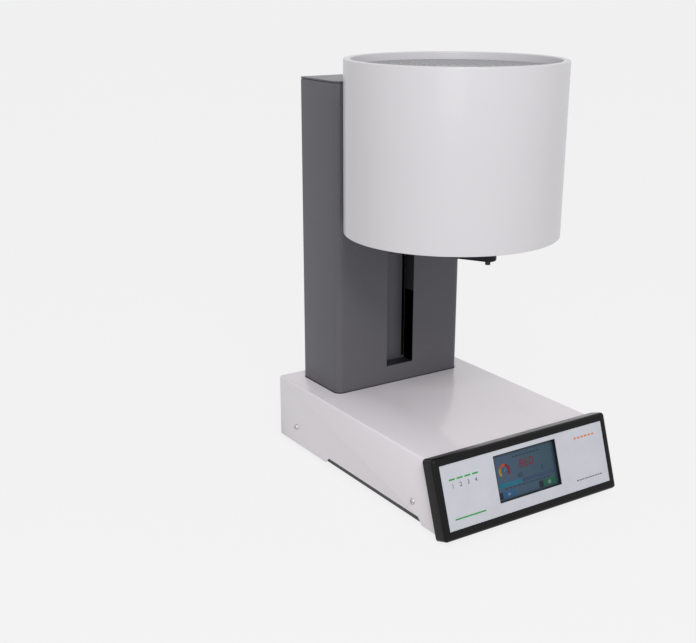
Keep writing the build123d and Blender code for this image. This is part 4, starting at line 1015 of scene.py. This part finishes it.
CAMERA_AT = Vector((-0.8106, -1.0557, 0.6022))
CAMERA_YAW = radians(33.6)
CAMERA_PITCH = radians(19.61)
CAMERA_ROLL = radians(0.22)
LENS = 57.12
SENSOR = 36.0
SHIFT = (-0.0227, 0.0684)
FLOOR_SIZE = 80.0
BACKGROUND = (0.888, 0.888, 0.888)
FLOOR_GLOW = 0.9
FLOOR_GLOW_COLOUR = (0.925, 0.925, 0.925)
FLOOR_COLOUR = (0.8, 0.8, 0.8)
WORLD_LEVEL = 0.48
SOFTBOXES = {
    "front_high": dict(place=(-1.0, -1.9, 2.1), target=(0, -0.05, 0.15), size=(0.9, 0.9), power=33.0),
    "left": dict(place=(-1.7, -2.0, 1.0), target=(0, -0.05, 0.25), size=(1.2, 1.2), power=5.0),
}


def seen_directly(tree):
    """1 where the camera, gloss or glass looks, 0 for the light that reaches the object."""
    path = tree.nodes.new("ShaderNodeLightPath")
    first = tree.nodes.new("ShaderNodeMath")
    first.operation = "MAXIMUM"
    second = tree.nodes.new("ShaderNodeMath")
    second.operation = "MAXIMUM"
    tree.links.new(path.outputs["Is Camera Ray"], first.inputs[0])
    tree.links.new(path.outputs["Is Glossy Ray"], first.inputs[1])
    tree.links.new(first.outputs[0], second.inputs[0])
    tree.links.new(path.outputs["Is Transmission Ray"], second.inputs[1])
    return second.outputs[0]


def pale_floor():
    """Floor whose own shadow stays soft against a pale ground."""
    bm = bmesh.new()
    square = bar(-FLOOR_SIZE / 2, -FLOOR_SIZE / 2, FLOOR_SIZE, FLOOR_SIZE)
    bm.faces.new([bm.verts.new((x, y, 0)) for x, y in square])
    mesh = bpy.data.meshes.new("floor")
    bm.to_mesh(mesh)
    bm.free()
    floor = bpy.data.objects.new("floor", mesh)
    scene.collection.objects.link(floor)
    material = bpy.data.materials.new("floor")
    material.use_nodes = True
    tree = material.node_tree
    tree.nodes.clear()
    out = tree.nodes.new("ShaderNodeOutputMaterial")
    plain = tree.nodes.new("ShaderNodeBsdfDiffuse")
    plain.inputs["Color"].default_value = (*FLOOR_COLOUR, 1)
    glow = tree.nodes.new("ShaderNodeEmission")
    glow.inputs["Color"].default_value = (*FLOOR_GLOW_COLOUR, 1)
    share = tree.nodes.new("ShaderNodeMath")
    share.operation = "MULTIPLY"
    share.inputs[1].default_value = FLOOR_GLOW
    mix = tree.nodes.new("ShaderNodeMixShader")
    tree.links.new(seen_directly(tree), share.inputs[0])
    tree.links.new(share.outputs[0], mix.inputs["Fac"])
    tree.links.new(plain.outputs[0], mix.inputs[1])
    tree.links.new(glow.outputs[0], mix.inputs[2])
    tree.links.new(mix.outputs[0], out.inputs["Surface"])
    mesh.materials.append(material)


def pale_world():
    """Soft grey surround, pale where the camera, glass or gloss sees it."""
    world = bpy.data.worlds.new("studio")
    scene.world = world
    world.use_nodes = True
    tree = world.node_tree
    tree.nodes.clear()
    out = tree.nodes.new("ShaderNodeOutputWorld")
    soft = tree.nodes.new("ShaderNodeBackground")
    soft.inputs["Color"].default_value = (1, 1, 1, 1)
    soft.inputs["Strength"].default_value = WORLD_LEVEL
    seen = tree.nodes.new("ShaderNodeBackground")
    seen.inputs["Color"].default_value = (*BACKGROUND, 1)
    mix = tree.nodes.new("ShaderNodeMixShader")
    tree.links.new(seen_directly(tree), mix.inputs["Fac"])
    tree.links.new(soft.outputs[0], mix.inputs[1])
    tree.links.new(seen.outputs[0], mix.inputs[2])
    tree.links.new(mix.outputs[0], out.inputs["Surface"])


def softbox(name, place, target, size, power):
    """Area light aimed at a point; size in metres, power in watts."""
    light = bpy.data.lights.new(name, "AREA")
    light.shape = "RECTANGLE"
    light.size = size[0]
    light.size_y = size[1]
    light.energy = power
    lamp = bpy.data.objects.new(name, light)
    scene.collection.objects.link(lamp)
    lamp.location = place
    aim = Vector(target) - Vector(place)
    lamp.rotation_euler = aim.to_track_quat("-Z", "Y").to_euler()


def lights():
    """Two softboxes from the left front."""
    for name, values in SOFTBOXES.items():
        softbox(name, **values)


def camera():
    """Camera fitted to the furnace's edges in the photograph."""
    data = bpy.data.cameras.new("camera")
    data.lens = LENS
    data.sensor_width = SENSOR
    data.sensor_fit = "HORIZONTAL"
    data.shift_x, data.shift_y = SHIFT
    obj = bpy.data.objects.new("camera", data)
    scene.collection.objects.link(obj)
    yaw, pitch, roll = CAMERA_YAW, CAMERA_PITCH, CAMERA_ROLL
    ahead = Vector((sin(yaw) * cos(pitch), cos(yaw) * cos(pitch), -sin(pitch)))
    right = Vector((cos(yaw), -sin(yaw), 0))
    up = right.cross(ahead)
    level = right * cos(roll) + up * sin(roll)
    upright = up * cos(roll) - right * sin(roll)
    obj.matrix_world = Matrix((
        (level.x, upright.x, -ahead.x, CAMERA_AT.x),
        (level.y, upright.y, -ahead.y, CAMERA_AT.y),
        (level.z, upright.z, -ahead.z, CAMERA_AT.z),
        (0, 0, 0, 1),
    ))
    scene.camera = obj


camera()
pale_floor()
pale_world()
lights()
dress_cad_nodes()
head_casing()
grille_plate()
column_casing()
column_cap()
cap_joint()
# Dark sheet in the slot, which is painted shade
slot_shade_sheet()
base_casing()
bezel_frame()
label_panel()
screen()
label_marks()
side_screws()
rubber_feet()
rear_screws()
switch_signs()
scene.view_settings.view_transform = "Standard"
